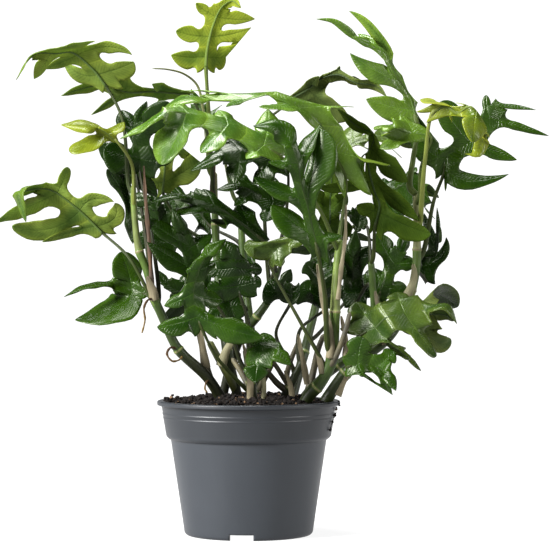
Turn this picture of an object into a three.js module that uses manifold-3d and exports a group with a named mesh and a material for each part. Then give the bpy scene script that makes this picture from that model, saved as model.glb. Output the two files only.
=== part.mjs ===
// A potted mini monstera: a grey nursery pot, its compost, ten climbing stems and their split leaves.
// Millimetres, +Z up, origin at the middle of the pot's underside, the front of the plant towards -Y.
import * as THREE from "three";
import { mergeVertices } from "three/addons/utils/BufferGeometryUtils.js";
import Module from "manifold-3d";

const wasm = await Module();
wasm.setup();

// Driving dimensions of the pot
const POT_RADIUS = 85;
const POT_HEIGHT = 124;
const LIP_HEIGHT = 4.5;
const LIP_WIDTH = 4;
const BAND_BOTTOM = 90;
const BAND_BOTTOM_RADIUS = 76.4;
const BODY_TOP_RADIUS = 72.3;
const FOOT_RADIUS = 59.6;
const FOOT_HEIGHT = 6;
const WALL = 1.8;
const FLOOR = 2.4;
const POT_SIDES = 30;
const NOTCH_WIDTH = 23;
const NOTCH_TURNS = [-96, 24, 144];
const PAD_RADIUS = 9;
const DRAIN = { radius: 5, sides: 8, fromAxis: 38, turns: [-36, 84, 204] };

// Driving dimensions of the compost
const COMPOST_EDGE = 120;
const COMPOST_CROWN = 129;
const COMPOST_SIDES = 14;
const CLEARANCE = 0.35;

// Driving dimensions of the plant
const BLADE_THICKNESS = 0.8;
const PETIOLE_SIDES = 4;
const PETIOLE_STEPS = 4;
const STEM_SIDES = 6;
const RING_SWELL = 0.7;
const ROOT_RADIUS = 1.1;

// Proportions of a blade: the share of a lobe's vein that lies in the undivided part of the blade, the
// share of the rest where a hole has closed again, a vein's rise over its chord, how much of the way to
// the next vein a lobe may fill, and the rows that a lobe is drawn with.
const WEB = 0.27;
const HOLE_END = 0.6;
const VEIN_LIFT = 0.09;
const CROWD = 0.37;
const LOBE_ROWS = [0.3, 0.68, 1];
const PLAIN_ROWS = [0.42, 1];
const EVEN_PLACES = { 1: [0, 0.6], 2: [0, 0.32, 0.64], 3: [0, 0.23, 0.46, 0.7] };

// The front view that places are read from: millimetres to a pixel in the plane of the pot's axis
const MM_PER_PIXEL = 0.929;
const EYE = new THREE.Vector3(24.4, -2044, 243.6);
const MIDDLE_PIXEL = { x: 275, y: 271.5 };

// The point that is seen at a pixel of the front view and lies at a depth of y = depth.
function at([px, py, depth]) {
  const reach = (MM_PER_PIXEL * (depth - EYE.y)) / -EYE.y;
  return new THREE.Vector3(
    EYE.x + (px - MIDDLE_PIXEL.x) * reach,
    depth,
    EYE.z + (MIDDLE_PIXEL.y - py) * reach,
  );
}

// A repeatable stream of numbers from 0 to 1.
function dice(seed) {
  let state = seed * 2654435761;
  return () => {
    state = (state + 0x6d2b79f5) | 0;
    let t = Math.imul(state ^ (state >>> 15), 1 | state);
    t = (t + Math.imul(t ^ (t >>> 7), 61 | t)) ^ t;
    return ((t ^ (t >>> 14)) >>> 0) / 4294967296;
  };
}

// Stems: a path of [pixel x, pixel y, depth], the radius at foot and top, the heights of the rings.
const STEMS = {
  a: { path: [[236, 428, -8], [223, 402, -12], [207, 377, -18], [178, 349, -26], [163, 318, -30],
      [154, 297, -32], [146, 268, -33], [139, 250, -34], [135, 220, -34], [133, 186, -34]],
      foot: 5.6, top: 2.6, rings: [0.37, 0.59, 0.76] },
  b: { path: [[244, 428, 10], [238, 398, 8], [230, 365, 10], [222, 320, 26], [217, 260, 40],
      [215, 215, 42], [214, 172, 42]], foot: 5, top: 3, rings: [0.3, 0.55, 0.8] },
  c: { path: [[254, 428, -20], [252, 398, -27], [250, 372, -32], [247, 350, -35]],
      foot: 5, top: 4, rings: [0.6] },
  d: { path: [[220, 428, 40], [223, 398, 38], [229, 370, 34], [240, 340, 26], [256, 318, 14],
      [270, 297, 9], [277, 268, 6]], foot: 4.6, top: 3.4, rings: [0.4, 0.7] },
  e: { path: [[298, 428, -26], [307, 399, -33], [321, 382, -38], [331, 362, -40], [334, 340, -42],
      [335, 311, -42], [337, 268, -42], [340, 240, -42]],
      foot: 6.2, top: 3.4, rings: [0.24, 0.42, 0.64] },
  f: { path: [[290, 428, 4], [304, 398, 8], [327, 374, 10], [353, 353, 9], [371, 334, 6],
      [374, 312, 4], [373, 290, 2], [371, 262, 0]], foot: 5, top: 3, rings: [0.4, 0.66] },
  g: { path: [[312, 428, 0], [327, 399, -6], [346, 373, -11], [364, 357, -14], [384, 342, -13],
      [397, 325, -10], [411, 292, -6], [416, 268, -5], [417, 235, -5], [416, 192, -5]],
      foot: 6.2, top: 3, rings: [0.24, 0.64, 0.79] },
  h: { path: [[262, 428, 38], [258, 395, 50], [252, 340, 72], [246, 290, 90], [242, 240, 100],
      [240, 200, 104]], foot: 5.2, top: 3, rings: [0.35, 0.62] },
  i: { path: [[284, 428, 36], [293, 395, 50], [306, 345, 74], [318, 295, 92], [326, 245, 102],
      [330, 205, 106]], foot: 5.2, top: 3, rings: [0.35, 0.62] },
  j: { path: [[276, 428, -6], [284, 398, -10], [294, 378, -12], [302, 362, -10]],
      foot: 4.6, top: 3.6, rings: [0.6] },
};

// Thin growths fused to the stems: aerial roots, the rolled new leaf of stem b, and cut leaf stalks lower
// down.
const ROOTS = [
  { stem: "a", path: [[155, 299, -33], [148, 300, -40], [144, 308, -44], [145, 320, -46],
      [142, 333, -46]] },
  { stem: "a", path: [[176, 348, -28], [170, 348, -36], [167, 354, -39], [172, 361, -40],
      [179, 360, -36], [183, 355, -27]] },
  { stem: "a", path: [[210, 379, -19], [206, 383, -24], [205, 389, -26], [207, 392, -26]] },
  { stem: "d", path: [[236, 349, 24], [240, 356, 36], [236, 366, 42], [231, 370, 33]] },
];
const SHOOTS = [
  { stem: "b", foot: 2.3, top: 0.6, path: [[214, 188, 42], [208, 152, 53], [203, 108, 56],
      [197, 85, 54], [184, 74, 48], [168, 69.5, 40], [152, 68.4, 32]] },
  { stem: "a", foot: 3, top: 2.2, path: [[216, 391, -14], [210, 376, -6], [203, 352, -4],
      [198, 331, -4]] },
  { stem: "j", foot: 3.4, top: 2.4, path: [[287, 391, -11], [277, 383, -15], [266, 370, -20]] },
  { stem: "j", foot: 2.4, top: 2, path: [[289, 387, -11], [283, 377, -17], [276, 366, -24],
      [268, 356, -28]] },
  { stem: "b", foot: 4, top: 3.2, path: [[236, 391, 8], [226, 372, 1], [216, 354, -1],
      [209, 341, 2]] },
  { stem: "c", foot: 3, top: 2.2, path: [[251, 391, -28], [242, 374, -22], [232, 358, -14]] },
  { stem: "h", foot: 3, top: 2.4, path: [[258, 391, 51], [266, 376, 40], [275, 358, 34]] },
  { stem: "i", foot: 3, top: 2.2, path: [[294, 392, 51], [287, 378, 42], [291, 360, 36],
      [299, 341, 34]] },
  { stem: "f", foot: 3.8, top: 2.4, path: [[307, 395, 8], [313, 373, 20], [318, 350, 26],
      [324, 334, 28]] },
  { stem: "e", foot: 3, top: 2, path: [[326, 373, -39], [337, 354, -47], [345, 332, -52],
      [350, 312, -52]] },
];

// Leaves: the stem and the share of its length that the petiole grows from, the petiole's own points, the
// blade's base, its midrib from there to the tip, the direction that the upper face looks, and for each
// side the tips of its lobes from the base on. A place is [pixel x, pixel y, depth], where a midrib's
// depths count from the base's and a lobe's from its root on the midrib. A lobe may add its width, its
// bluntness from 0 to 1, and the place that its vein bends towards. Holes are the boundaries, counted
// from the base on, whose two lobes join again beyond the gap. Where a leaf differs from the rest it
// gives its own web, the places along the midrib where its lobes part, the crowding that its lobes allow,
// the fullness of its end lobe and the stoutness of its petiole. A plain leaf stands inside the plant and
// has fewer rows of facets.
const LEAVES = [
  {
    name: "a1", stem: "a", on: 0.93, petiole: [[132, 165, -44]], base: [118, 142, -54],
    rib: [[98, 128, -6], [61, 125, -16]], face: [-0.1, -0.55, 0.85], places: [0, 0.4], web: 0.12,
    end: 1.79, sides: [[[69, 151, -7, 1.55, 1]], [[124, 122, 17, 1.1, 0]]],
  },
  {
    name: "a2", stem: "a", on: 0.97, petiole: [[122, 118, -26]], base: [106, 86, -18],
    rib: [[93, 69, -4], [72, 52, -10], [57, 53, -18], [34, 54, -22], [16, 80, -35]],
    face: [0.1, 0.9, 0.42], endFace: [-0.5, -0.1, 0.85], web: 0.26, end: 0.61,
    sides: [
      [[134, 62, -10, 1.28, 0.73], [132, 55, -10, 0.82, 0.24, 110, 42, -8], [95, 41, -29, 0.76, 0]],
      [[63, 61, 12, 1.04, 0, 81, 82, 6], [44, 69, 4, 0.86, 0], [34, 79, 0, 1.52, 0.15]]],
  },
  {
    name: "a3", plain: true, stem: "a", on: 0.55, petiole: [[150, 225, -14]], base: [140, 171, 2],
    rib: [[140, 154, -2], [135, 133, -6], [147, 101, 0]], face: [0.35, -0.94, 0.31], web: 0.26,
    end: 0.97,
    sides: [[[176, 145, -6, 0.86, 0, 168, 167, -5], [169, 102, -12, 1.51, 0.84]],
      [[104, 148, -12, 2.43, 0.6], [122, 110, 22, 1.46, 0.4]]],
  },
  {
    name: "a4", stem: "a", on: 0.5, petiole: [[130, 259, -20]], base: [103, 233, -2],
    rib: [[76, 207, -6], [49, 189, -11], [27, 190, -20], [19, 192, -28], [26, 222, -30]],
    face: [0.1, 1.04, 0.5], endFace: [-0.5, -0.3, 0.8], places: [0, 0.14, 0.33, 0.56], web: 0.21,
    crowd: 0.6, end: 0.99,
    sides: [
      [[115, 203, -7, 1.2, 0.85, 123, 223, 3], [114, 202, -9, 0.93, 0.21, 89, 194, -8],
        [67, 167, -14, 0.59, 1]],
      [[42, 242, -6, 0.71, 0.32, 74, 232, 4], [12, 226, 5, 1.32, 0.83, 52, 243, 8],
        [-6, 223, -4, 1.2, 0.11, 34, 209, 0]]],
  },
  {
    name: "a5", stem: "a", on: 0.42, petiole: [], base: [148, 295, -12],
    rib: [[125, 287, 9], [106, 284, 0], [84, 287, -6], [64, 297, -14]], face: [0, -0.45, 0.9],
    places: [0, 0.42], web: 0.18, end: 0.54,
    sides: [[[120, 252, 2, 1.3, 0.82]], [[75, 320, -10, 2.13, 0.34, 135, 311, -6]]],
  },
  {
    name: "a6", plain: true, stem: "a", on: 0.62, petiole: [[140, 200, 8]], base: [132, 162, 18],
    rib: [[122, 178, -4], [128, 201, -8], [133, 244, -10]], face: [-0.3, -0.95, 0], web: 0.21,
    end: 0.94,
    sides: [[[98, 143, -10, 1.23, 0.2], [107, 169, -20, 0.66, 0.33]],
      [[157, 196, 4, 1.04, 0.42], [153, 202, -11, 0.9, 0.37]]],
  },
  {
    name: "b1", stem: "b", on: 0.98, petiole: [[209, 120, 38]], base: [206, 67, 34],
    rib: [[207, 52, 0], [213, 26, -2], [222, 7, -5], [232, 1, -8], [241, 8, -14]],
    face: [0.05, 0.97, 0.2], web: 0.29, end: 0.88, stout: 1.3, holes: [[], [1]],
    sides: [[[171, 55, -7, 1.66, 0.11], [176, 31, -5, 1.26, 0.5], [196, 3, -4, 0.71, 0.32]],
      [[226, 57, 9, 1.75, 0.59], [250, 29, 1, 1.08, 0.14], [255, 19, 3, 1.23, 0.09]]],
  },
  {
    name: "b3", stem: "b", on: 0.7, petiole: [[182, 225, 48]], base: [163, 192, 42],
    rib: [[165, 167, -8], [163, 150, 2], [170, 131, 4]], face: [0.38, 0.97, 0.2], web: 0.28,
    holes: [[1], []],
    sides: [[[199, 161, 6, 1.6, 0.88], [182, 147, 2, 0.4, 0.2]],
      [[147, 184, 2, 1.17, 0.23], [146, 150, 2, 0.94, 0]]],
  },
  {
    name: "b4", stem: "b", on: 0.9, petiole: [[209, 140, 24]], base: [188, 94, 22],
    rib: [[153, 91, -4], [128, 92, -13], [104, 85, -7], [77, 90, -14], [61, 96, -20]],
    face: [-0.5, 0.84, 0.64], web: 0.25, end: 0.64,
    sides: [[[154, 110, 17, 0.41, 0.18], [91, 115, -1, 0.4, 0.04]],
      [[152, 84, -28, 0.6, 0], [109, 71, -20, 1.67, 0]]],
  },
  {
    name: "c1", stem: "c", on: 0.44, petiole: [[216, 356, -64]], base: [201.5, 328, -76],
    rib: [[194, 308, -2], [194, 285, -5], [202, 263, -8], [211, 250, -6], [226, 239, 2]],
    face: [-0.35, -0.9, 0.25], web: 0.33,
    sides: [[[157, 327, -2, 1.5, 0.3], [164, 306, 0, 1], [186, 271, -2, 0.9]],
      [[263, 338, -4, 1.5, 0.2], [222, 300, 20, 1, 0.5], [215, 262, 14, 0.9]]],
  },
  {
    name: "c2", plain: true, stem: "c", on: 0.8, petiole: [], base: [249, 347, -58],
    rib: [[263, 345, -8], [278, 350, -16], [291, 365, -24]], face: [0.1, -0.65, 0.75], web: 0.55,
    sides: [[[271, 335, 12, 1.5, 0.8]], [[255, 383, -10, 1.1]]],
  },
  {
    name: "c3", plain: true, stem: "c", on: 0.95, petiole: [[248, 320, -44]], base: [240, 295, -46],
    rib: [[236, 277, -2], [234, 262, -6], [222, 240, -6]], face: [0, -0.97, 0.2], web: 0.63, end: 0.97,
    sides: [[[207, 288, -3, 1.7, 1], [209, 269, 8, 1.37, 0.81]],
      [[261, 279, -4, 1.02, 0.56], [262, 269, 11, 1.03, 0.72]]],
  },
  {
    name: "c4", plain: true, stem: "c", on: 0.7, petiole: [[226, 320, -32]], base: [204, 286, -34],
    rib: [[197, 264, 0], [189, 244, 0], [178, 222, -7], [172, 208, -6]], face: [-0.2, -0.85, 0.5],
    sides: [[[147, 242, -8, 1.4], [141, 216, -6, 1.14]], [[222, 264, 8, 1.01, 0.3], [212, 234, 8, 1.2]]],
  },
  {
    name: "c5", plain: true, stem: "c", on: 0.6, petiole: [], base: [243, 304, -24],
    rib: [[232, 306, 0], [221, 310, -2], [207, 320, -4]], face: [-0.1, -0.95, 0.3], web: 0.69,
    sides: [[[236, 325, -1, 1.29, 0.75]], [[228, 289, 6, 1.3, 0.63]]],
  },
  {
    name: "d1", plain: true, stem: "d", on: 0.97, petiole: [[286, 215, -2]], base: [286, 164, -14],
    rib: [[264, 154, -4], [248, 151, -8], [223, 154, -12], [210, 161, -16], [191, 171, -20]],
    face: [0, -0.35, 0.93], web: 0.37, end: 1.6,
    sides: [[[254, 141, 33, 1.12, 0], [216, 132, 24, 1.12, 0]],
      [[253, 185, -11, 1.46, 0.45], [234, 184, -9, 1.12, 0.38]]],
  },
  {
    name: "d2", stem: "d", on: 0.85, petiole: [[264, 200, 34], [267, 122, 56], [282, 108, 60]],
    base: [291, 98, 58],
    rib: [[307, 89, -2], [323, 77, 1], [339, 74, -6], [355, 82, -14], [376, 86, -10], [387, 97, -14]],
    face: [0.01, 0.7, 0.91], web: 0.28, end: 0.71,
    sides: [[[350, 120, 10, 1.41, 0.37], [364, 85, 16, 0.55, 0.63]],
      [[319, 76, -15, 0.98, 0], [340, 66, -7, 0.56, 0]]],
  },
  {
    name: "d3", plain: true, stem: "d", on: 0.92, petiole: [[286, 232, 8]], base: [283, 208, 8],
    rib: [[262, 196, 1], [240, 186, -8], [216, 190, -12]], face: [-0.16, -0.55, 0.83], web: 0.45,
    end: 1.26,
    sides: [[[264, 175, 10, 1.3, 0.5], [236, 173, 8, 0.86]],
      [[264, 222, -12, 1.2, 0.2], [234, 206, -10, 1]]],
  },
  {
    name: "d4", stem: "d", on: 0.8, petiole: [[276, 260, -6]], base: [264, 241, -10],
    rib: [[246, 226, -4], [222, 209, -10], [196, 199, -14], [170, 196, -22], [149, 204, -28]],
    face: [-0.1, -0.44, 1.21], web: 0.37, end: 0.99,
    sides: [[[238, 203, 20, 1.2], [203, 189, 16, 1]], [[210, 220, 2, 1.19], [167, 214, -12, 1]]],
  },
  {
    name: "e1", stem: "e", on: 0.42, petiole: [[325, 296, -64]], base: [318, 254, -86],
    rib: [[311, 224, -4], [306, 202, -7], [301, 184, -12], [294, 151, -18], [278, 128, -18],
      [253, 126, -22]], face: [-0.3, -0.86, 0.74], web: 0.18, end: 1.19, stout: 1.3,
    sides: [[[271, 205, -6, 1.3, 0.43], [254, 177, -3, 1.59, 0.29], [268, 162, -8, 0.75, 0]],
      [[343, 236, 6, 0.77, 0.07], [321, 129, 9, 1.68, 1], [321, 125, 21, 0.9, 0.15]]],
  },
  {
    name: "e2", stem: "e", on: 0.98, petiole: [], base: [346, 178, -34],
    rib: [[333, 149, -4], [319, 122, -8], [300, 108, -12], [269, 94, -16], [242, 100, -20],
      [208, 100, -20], [181, 100, -28], [146, 125, -30]], face: [0.25, -0.08, 0.96], web: 0.31,
    end: 1.6,
    sides: [[[315, 166, -12, 1.15, 0.68], [259, 107, -42, 0.9, 0.47], [226, 107, -28, 0.54, 0]],
      [[390, 165, -10, 1.31, 0.8], [354, 107, 8, 0.46, 0], [181, 91, 22, 0.45, 0]]],
  },
  {
    name: "e3", stem: "e", on: 0.94, petiole: [[321, 212, -60]], base: [281, 156, -80],
    rib: [[263, 145, -4], [241, 131, -8], [213, 119, -12], [187, 113, -16], [167, 112, -25],
      [141, 128, -22], [120, 139, -26]], face: [0, -0.4, 0.92], web: 0.32, end: 0.85,
    sides: [[[246, 159, -18, 0.95, 0], [201, 153, -18, 1.56, 0.38], [162, 165, -12, 1.73, 0.55]],
      [[268, 109, 25, 0.96, 0], [218, 110, 22, 1.05, 0], [174, 104, 14, 1.25, 0.19]]],
  },
  {
    name: "e4", plain: true, stem: "e", on: 0.33, petiole: [[302, 325, -46]], base: [269, 260, -40],
    rib: [[275, 250, -2], [286, 243, -4], [309, 240, -6]], face: [0, -0.75, 0.65], web: 0.59,
    sides: [[[244, 247, -7, 1.16, 0.39]], [[281, 267, -6, 1, 0]]],
  },
  {
    name: "f1", stem: "f", on: 0.99, petiole: [], base: [375, 228, -14],
    rib: [[380, 204, -4], [375, 191, 0], [368, 156, -2], [374, 136, -4], [356, 125, -10],
      [337, 108, -16]], face: [0.68, 0.85, 0.35], web: 0.16, end: 0.72,
    sides: [[[431, 234, -24, 1.3, 0.5], [420, 221, -4, 0.96, 0.07], [408, 182, 0, 1.19, 0.13]],
      [[357, 205, -5, 1.15, 0.59], [320, 188, -1, 0.49, 1], [361, 158, -15, 0.54, 0.39]]],
  },
  {
    name: "f2", plain: true, stem: "f", on: 0.72, petiole: [], base: [379, 297, 24],
    rib: [[384, 282, 0], [392, 266, 0], [402, 248, -1], [407, 228, 9]], face: [0.29, -0.95, 0.25],
    web: 0.31,
    sides: [[[374, 268, 21, 1.4, 0.5], [377, 232, 0, 1.3, 0.2]],
      [[408, 291, 0, 1.4, 0.7], [415, 262, 0, 1.2, 0.6]]],
  },
  {
    name: "f3", stem: "f", on: 0.6, petiole: [], base: [358, 336, -44],
    rib: [[374, 328, -2], [388, 316, -15], [412, 313, -10], [422, 310, -10], [447, 307, -18],
      [457, 324, -17]], face: [0, -0.3, 1.02], web: 0.52, end: 0.61,
    sides: [[[356, 302, 20, 1.3, 0.48], [397, 292, 13, 1.3, 0.51]],
      [[389, 343, -15, 0.73, 0], [436, 357, -10, 0.8, 0.99]]],
  },
  {
    name: "f4", plain: true, stem: "f", on: 0.85, petiole: [], base: [355, 304, 26],
    rib: [[353, 284, 10], [353, 260, 0], [356, 229, 0]], face: [0, -0.97, 0.63], web: 0.5,
    sides: [[[335, 290, 0, 1.37, 0.6], [336, 250, -2, 1.19, 0.3]],
      [[370, 292, 2, 1.3, 0.6], [370, 246, 2, 1.1, 0.3]]],
  },
  {
    name: "f5", plain: true, stem: "f", on: 0.95, petiole: [], base: [367, 226, 36],
    rib: [[358, 220, 6], [349, 214, 4], [338, 212, 8]], face: [0.02, -0.66, 0.72], web: 0.5, end: 0.97,
    sides: [[[356, 232, 0, 1.2, 0.4]], [[360, 205, 8, 1.2, 0.3]]],
  },
  {
    name: "g1", stem: "g", on: 0.99, petiole: [[413, 160, -5]], base: [417, 126, -6],
    rib: [[407, 93, 8], [393, 72, -4], [382, 49, -7], [362, 42, -5], [344, 28, -13], [333, 21, -16],
      [316, 19, -20]], face: [-0.52, -0.8, 0.32], places: [0, 0.2, 0.46, 0.68], web: 0.14, end: 0.35,
    stout: 1.5,
    sides: [[[366, 99, -10, 1.35, 0], [350, 53, -10, 0.96, 0.04, 379, 78, -8], [352, 37, -11, 0.6, 0]],
      [[417, 126, 25, 0.91, 0.34, 418, 104, 8], [349, 11, 21, 0.48, 0.1, 387, 30, 14],
        [358, 34, 21, 0.46, 0.1]]],
  },
  {
    name: "g2", stem: "g", on: 0.84, petiole: [[425, 160, -26]], base: [433, 112, -46],
    rib: [[446, 105, -4], [458, 112, -14], [471, 106, -24], [487, 131, -20], [483, 139, -17],
      [476, 154, -20], [465, 154, -24]], face: [0.47, -0.36, 0.86], web: 0.31, end: 0.82, stout: 1.3,
    sides: [[[420, 100, 2, 1.05, 0.69], [456, 103, 14, 0.4]],
      [[452, 122, 0, 0.61, 0], [473, 143, -21, 1.38, 0.2]]],
  },
  {
    name: "g3", stem: "g", on: 0.75, petiole: [[434, 200, 4]], base: [444, 172, 8],
    rib: [[448, 154, -2], [464, 146, -4], [479, 133, -6], [493, 112, -10], [497, 107, -14],
      [516, 107, -18], [536, 110, -24]], face: [-0.3, -0.85, 0.45], web: 0.22, end: 0.34, stout: 1.2,
    sides: [
      [[419, 118, -3, 1.44, 0.6, 425, 163, -2], [441, 101, -5, 1.38, 1], [486, 95, 3, 0.59, 0.63]],
      [[509, 174, -4, 1.1, 0.1, 447, 197, -6], [517, 160, -7, 0.68, 0.22],
        [549, 136, -4, 0.45, 0.13, 512, 127, 2]]],
  },
  {
    name: "g4", plain: true, stem: "g", on: 0.68, petiole: [], base: [426, 281, 18],
    rib: [[421, 259, 7], [435, 255, 0], [438, 228, -9], [437, 207, 1]], face: [-0.3, -0.9, 0.31],
    web: 0.17, end: 0.3,
    sides: [[[446, 237, 6, 0.9, 0, 449, 257, 4], [440, 226, 13, 0.48, 0.23]],
      [[414, 258, -3, 1.12, 0], [424, 213, 10, 0.6, 0.14]]],
  },
  {
    name: "g5", stem: "g", on: 0.55, petiole: [], base: [396, 322, -26],
    rib: [[411, 317, 3], [426, 314, -8], [446, 315, -12], [454, 321, -16]], face: [0.1, 0.47, 0.75],
    places: [0, 0.62], web: 0.24, end: 1.78,
    sides: [[[458, 307, 20, 2.07, 0.55, 428, 283, 17]], [[451, 339, 1, 1.21, 0.94, 439, 358, -6]]],
  },
  {
    name: "g6", stem: "g", on: 0.3, petiole: [], base: [347, 367, -56],
    rib: [[360, 364, -4], [376, 366, -2], [388, 377, -18], [396, 391, -26]], face: [0.1, -0.9, 0.56],
    web: 0.45, holes: [[], [1]],
    sides: [[[363, 337, -4, 1.6, 0.6], [395, 352, 0, 1.31, 0.5]],
      [[364, 377, -4, 0.7, 0.3], [391, 394, 3, 0.77]]],
  },
  {
    name: "g7", plain: true, stem: "g", on: 0.44, petiole: [], base: [386, 341, -34],
    rib: [[396, 348, -4], [408, 357, -8], [421, 371, -12]], face: [0.3, -0.4, 0.85], web: 0.32,
    end: 1.1, sides: [[[406, 348, 14, 0.78, 0.03]], [[391, 360, 1, 0.84, 0]]],
  },
  {
    name: "g8", plain: true, stem: "g", on: 0.95, petiole: [[421, 168, -14]], base: [431, 136, -22],
    rib: [[420, 133, -2], [409, 132, -4], [396, 128, -13], [380, 127, -11], [374, 130, -16]],
    face: [0, -0.35, 0.94], web: 0.54, sides: [[[380, 149, -10, 1.29, 0]], [[400, 115, 10, 0.99, 0.06]]],
  },
  {
    name: "h1", plain: true, stem: "h", on: 0.98, petiole: [], base: [220, 140, 112],
    rib: [[207, 120, 8], [198, 100, 16], [191, 89, 24]], face: [-0.2, 0.3, 0.93], web: 0.28, end: 0.91,
    sides: [[[176, 118, 10, 1.23, 0], [167, 107, 12, 0.94]],
      [[235, 120, 25, 1.41, 0], [222, 105, 24, 1.16, 0]]],
  },
  {
    name: "h2", plain: true, stem: "h", on: 0.8, petiole: [], base: [210, 226, 118],
    rib: [[193, 206, 6], [174, 199, 12], [148, 203, 18]], face: [-0.3, 0.3, 0.9], end: 1.06,
    sides: [[[192, 237, -8, 0.94, 0], [166, 225, -2, 1.22, 0]],
      [[196, 188, 28, 1.43, 0], [164, 178, 24, 1.07, 0]]],
  },
  {
    name: "h3", plain: true, stem: "h", on: 0.6, petiole: [], base: [246, 263, 134],
    rib: [[238, 250, 16], [234, 245, 34], [228, 254, 56]], face: [0, 0.5, 0.87], end: 0.99,
    sides: [[[201, 267, 12, 1.15], [201, 258, 20, 0.98, 0]],
      [[267, 256, 18, 1.08, 0], [267, 254, 24, 1, 0.03]]],
  },
  {
    name: "h4", plain: true, stem: "h", on: 0.4, petiole: [], base: [214, 305, 110],
    rib: [[198, 295, 10], [183, 294, 20], [171, 298, 32]], face: [-0.2, 0.5, 0.85], web: 0.23,
    end: 0.97,
    sides: [[[196, 315, -12, 1.1, 0.22], [162, 322, -1, 1.89, 0.88]],
      [[207, 283, 25, 1.15, 0], [190, 277, 32, 0.98, 0.06]]],
  },
  {
    name: "h5", plain: true, stem: "h", on: 0.5, petiole: [[226, 296, 60]], base: [190, 302, 26],
    rib: [[180, 291, 0], [167, 284, 0], [155, 269, 2]], face: [-0.2, -0.9, 0.4], web: 0.4,
    sides: [[[170, 300, -4, 1.2, 0.29]], [[189, 273, 2, 1.2, 0.3]]],
  },
  {
    name: "h6", plain: true, stem: "h", on: 0.66, petiole: [[200, 262, 76]], base: [165, 252, 62],
    rib: [[162, 228, 6], [157, 211, 0], [151, 188, 2]], face: [-0.2, -0.9, 0.35], web: 0.45, end: 1.15,
    sides: [[[138, 234, 0, 1.66, 0.26], [134, 208, 10, 1.05, 0.32]],
      [[184, 240, 5, 1.2, 0.35], [174, 200, 5, 1.07, 0.34]]],
  },
  {
    name: "i1", plain: true, stem: "i", on: 0.98, petiole: [], base: [341, 151, 96],
    rib: [[361, 139, 2], [387, 139, 6], [402, 142, 8], [425, 149, 12]], face: [0, 0.3, 0.95], web: 0.2,
    end: 1.22,
    sides: [[[377, 152, -21, 0.93, 0], [402, 158, -16, 0.58, 0.33]],
      [[355, 124, 22, 1.24, 0.27], [392, 124, 30, 0.98, 0.24]]],
  },
  {
    name: "i2", plain: true, stem: "i", on: 0.8, petiole: [], base: [379, 203, 100],
    rib: [[387, 195, 2], [400, 186, 4], [416, 184, 8], [439, 198, 12]], face: [0, 0.2, 0.97], web: 0.58,
    sides: [[[407, 235, -19, 1.36], [435, 219, -14, 0.96, 0.16]],
      [[384, 178, 23, 0.85], [416, 167, 23, 0.79]]],
  },
  {
    name: "i3", plain: true, stem: "i", on: 0.6, petiole: [], base: [325, 255, 140],
    rib: [[337, 234, 18], [338, 231, 38], [348, 240, 60]], face: [0.1, 0.5, 0.86], end: 0.81,
    sides: [[[286, 252, 14, 1.09], [299, 239, 25, 1.02, 0]],
      [[367, 248, 20, 1.09, 0], [375, 241, 15, 1.01]]],
  },
  {
    name: "i4", plain: true, stem: "i", on: 0.4, petiole: [], base: [346, 301, 110],
    rib: [[358, 291, 10], [372, 289, 20], [388, 297, 32]], face: [0.2, 0.5, 0.85], web: 0.19, end: 1.01,
    sides: [[[359, 314, -10, 1.1], [385, 307, -7, 1, 0]], [[350, 278, 26, 1.12], [367, 273, 31, 0.99]]],
  },
  {
    name: "i5", plain: true, stem: "i", on: 0.72, petiole: [[322, 262, 84]], base: [325, 241, 66],
    rib: [[330, 220, -12], [330, 204, 0], [332, 172, 10]], face: [0.1, 0.95, 0.3], web: 0.47, end: 0.92,
    sides: [[[308, 226, 0, 1.3, 0.43], [309, 193, -7, 1.23, 0.79]],
      [[352, 226, 0, 1.29, 0.51], [347, 194, -11, 1.05, 0.09]]],
  },
  {
    name: "j1", plain: true, stem: "j", on: 0.78, petiole: [[276, 334, -6]], base: [290, 303, -14],
    rib: [[283, 286, -1], [284, 283, -2], [291, 269, -3]], face: [0.18, -0.95, 0.3], web: 0.45,
    sides: [[[263, 290, -1, 1.86, 1]], [[300, 293, -13, 1.86, 0.58]]],
  },
  {
    name: "j2", plain: true, stem: "j", on: 0.95, petiole: [[300, 330, 4]], base: [326, 308, 14],
    rib: [[321, 284, -13], [323, 265, 1], [327, 248, 4]], face: [0, -0.97, 0.25], web: 0.58, end: 0.99,
    sides: [[[300, 285, 1, 2.03, 1], [306, 262, -8, 1.32, 0.31]],
      [[342, 290, 3, 1.1, 0.9], [345, 266, -6, 1.29, 0.7]]],
  },
];

const LEAF_COLOUR = 0x4a6a2c;
const STEM_COLOUR = 0x54602b;
const POT_COLOUR = 0x565d62;
const COMPOST_COLOUR = 0x2e211a;

// The closed solid of a geometry that holds only places.
function solidOf(geometry) {
  const bare = geometry.index ? geometry.toNonIndexed() : geometry.clone();
  for (const name of Object.keys(bare.attributes)) {
    if (name !== "position") bare.deleteAttribute(name);
  }
  const merged = mergeVertices(bare, 1e-3);
  const mesh = new wasm.Mesh({
    numProp: 3,
    vertProperties: merged.attributes.position.array,
    triVerts: new Uint32Array(merged.index.array),
  });
  return new wasm.Manifold(mesh);
}

// The three.js geometry of a solid, with a flat shade on each facet.
function geometryOf(solid) {
  const { vertProperties, triVerts } = solid.getMesh();
  const geometry = new THREE.BufferGeometry();
  geometry.setAttribute("position", new THREE.BufferAttribute(new Float32Array(vertProperties), 3));
  geometry.setIndex(new THREE.BufferAttribute(new Uint32Array(triVerts), 1));
  const faceted = geometry.toNonIndexed();
  faceted.computeVertexNormals();
  return faceted;
}

// The largest body of a solid.
function largestBody(solid) {
  const bodies = solid.decompose();
  return bodies.reduce((best, body) => (body.volume() > best.volume() ? body : best));
}

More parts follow.
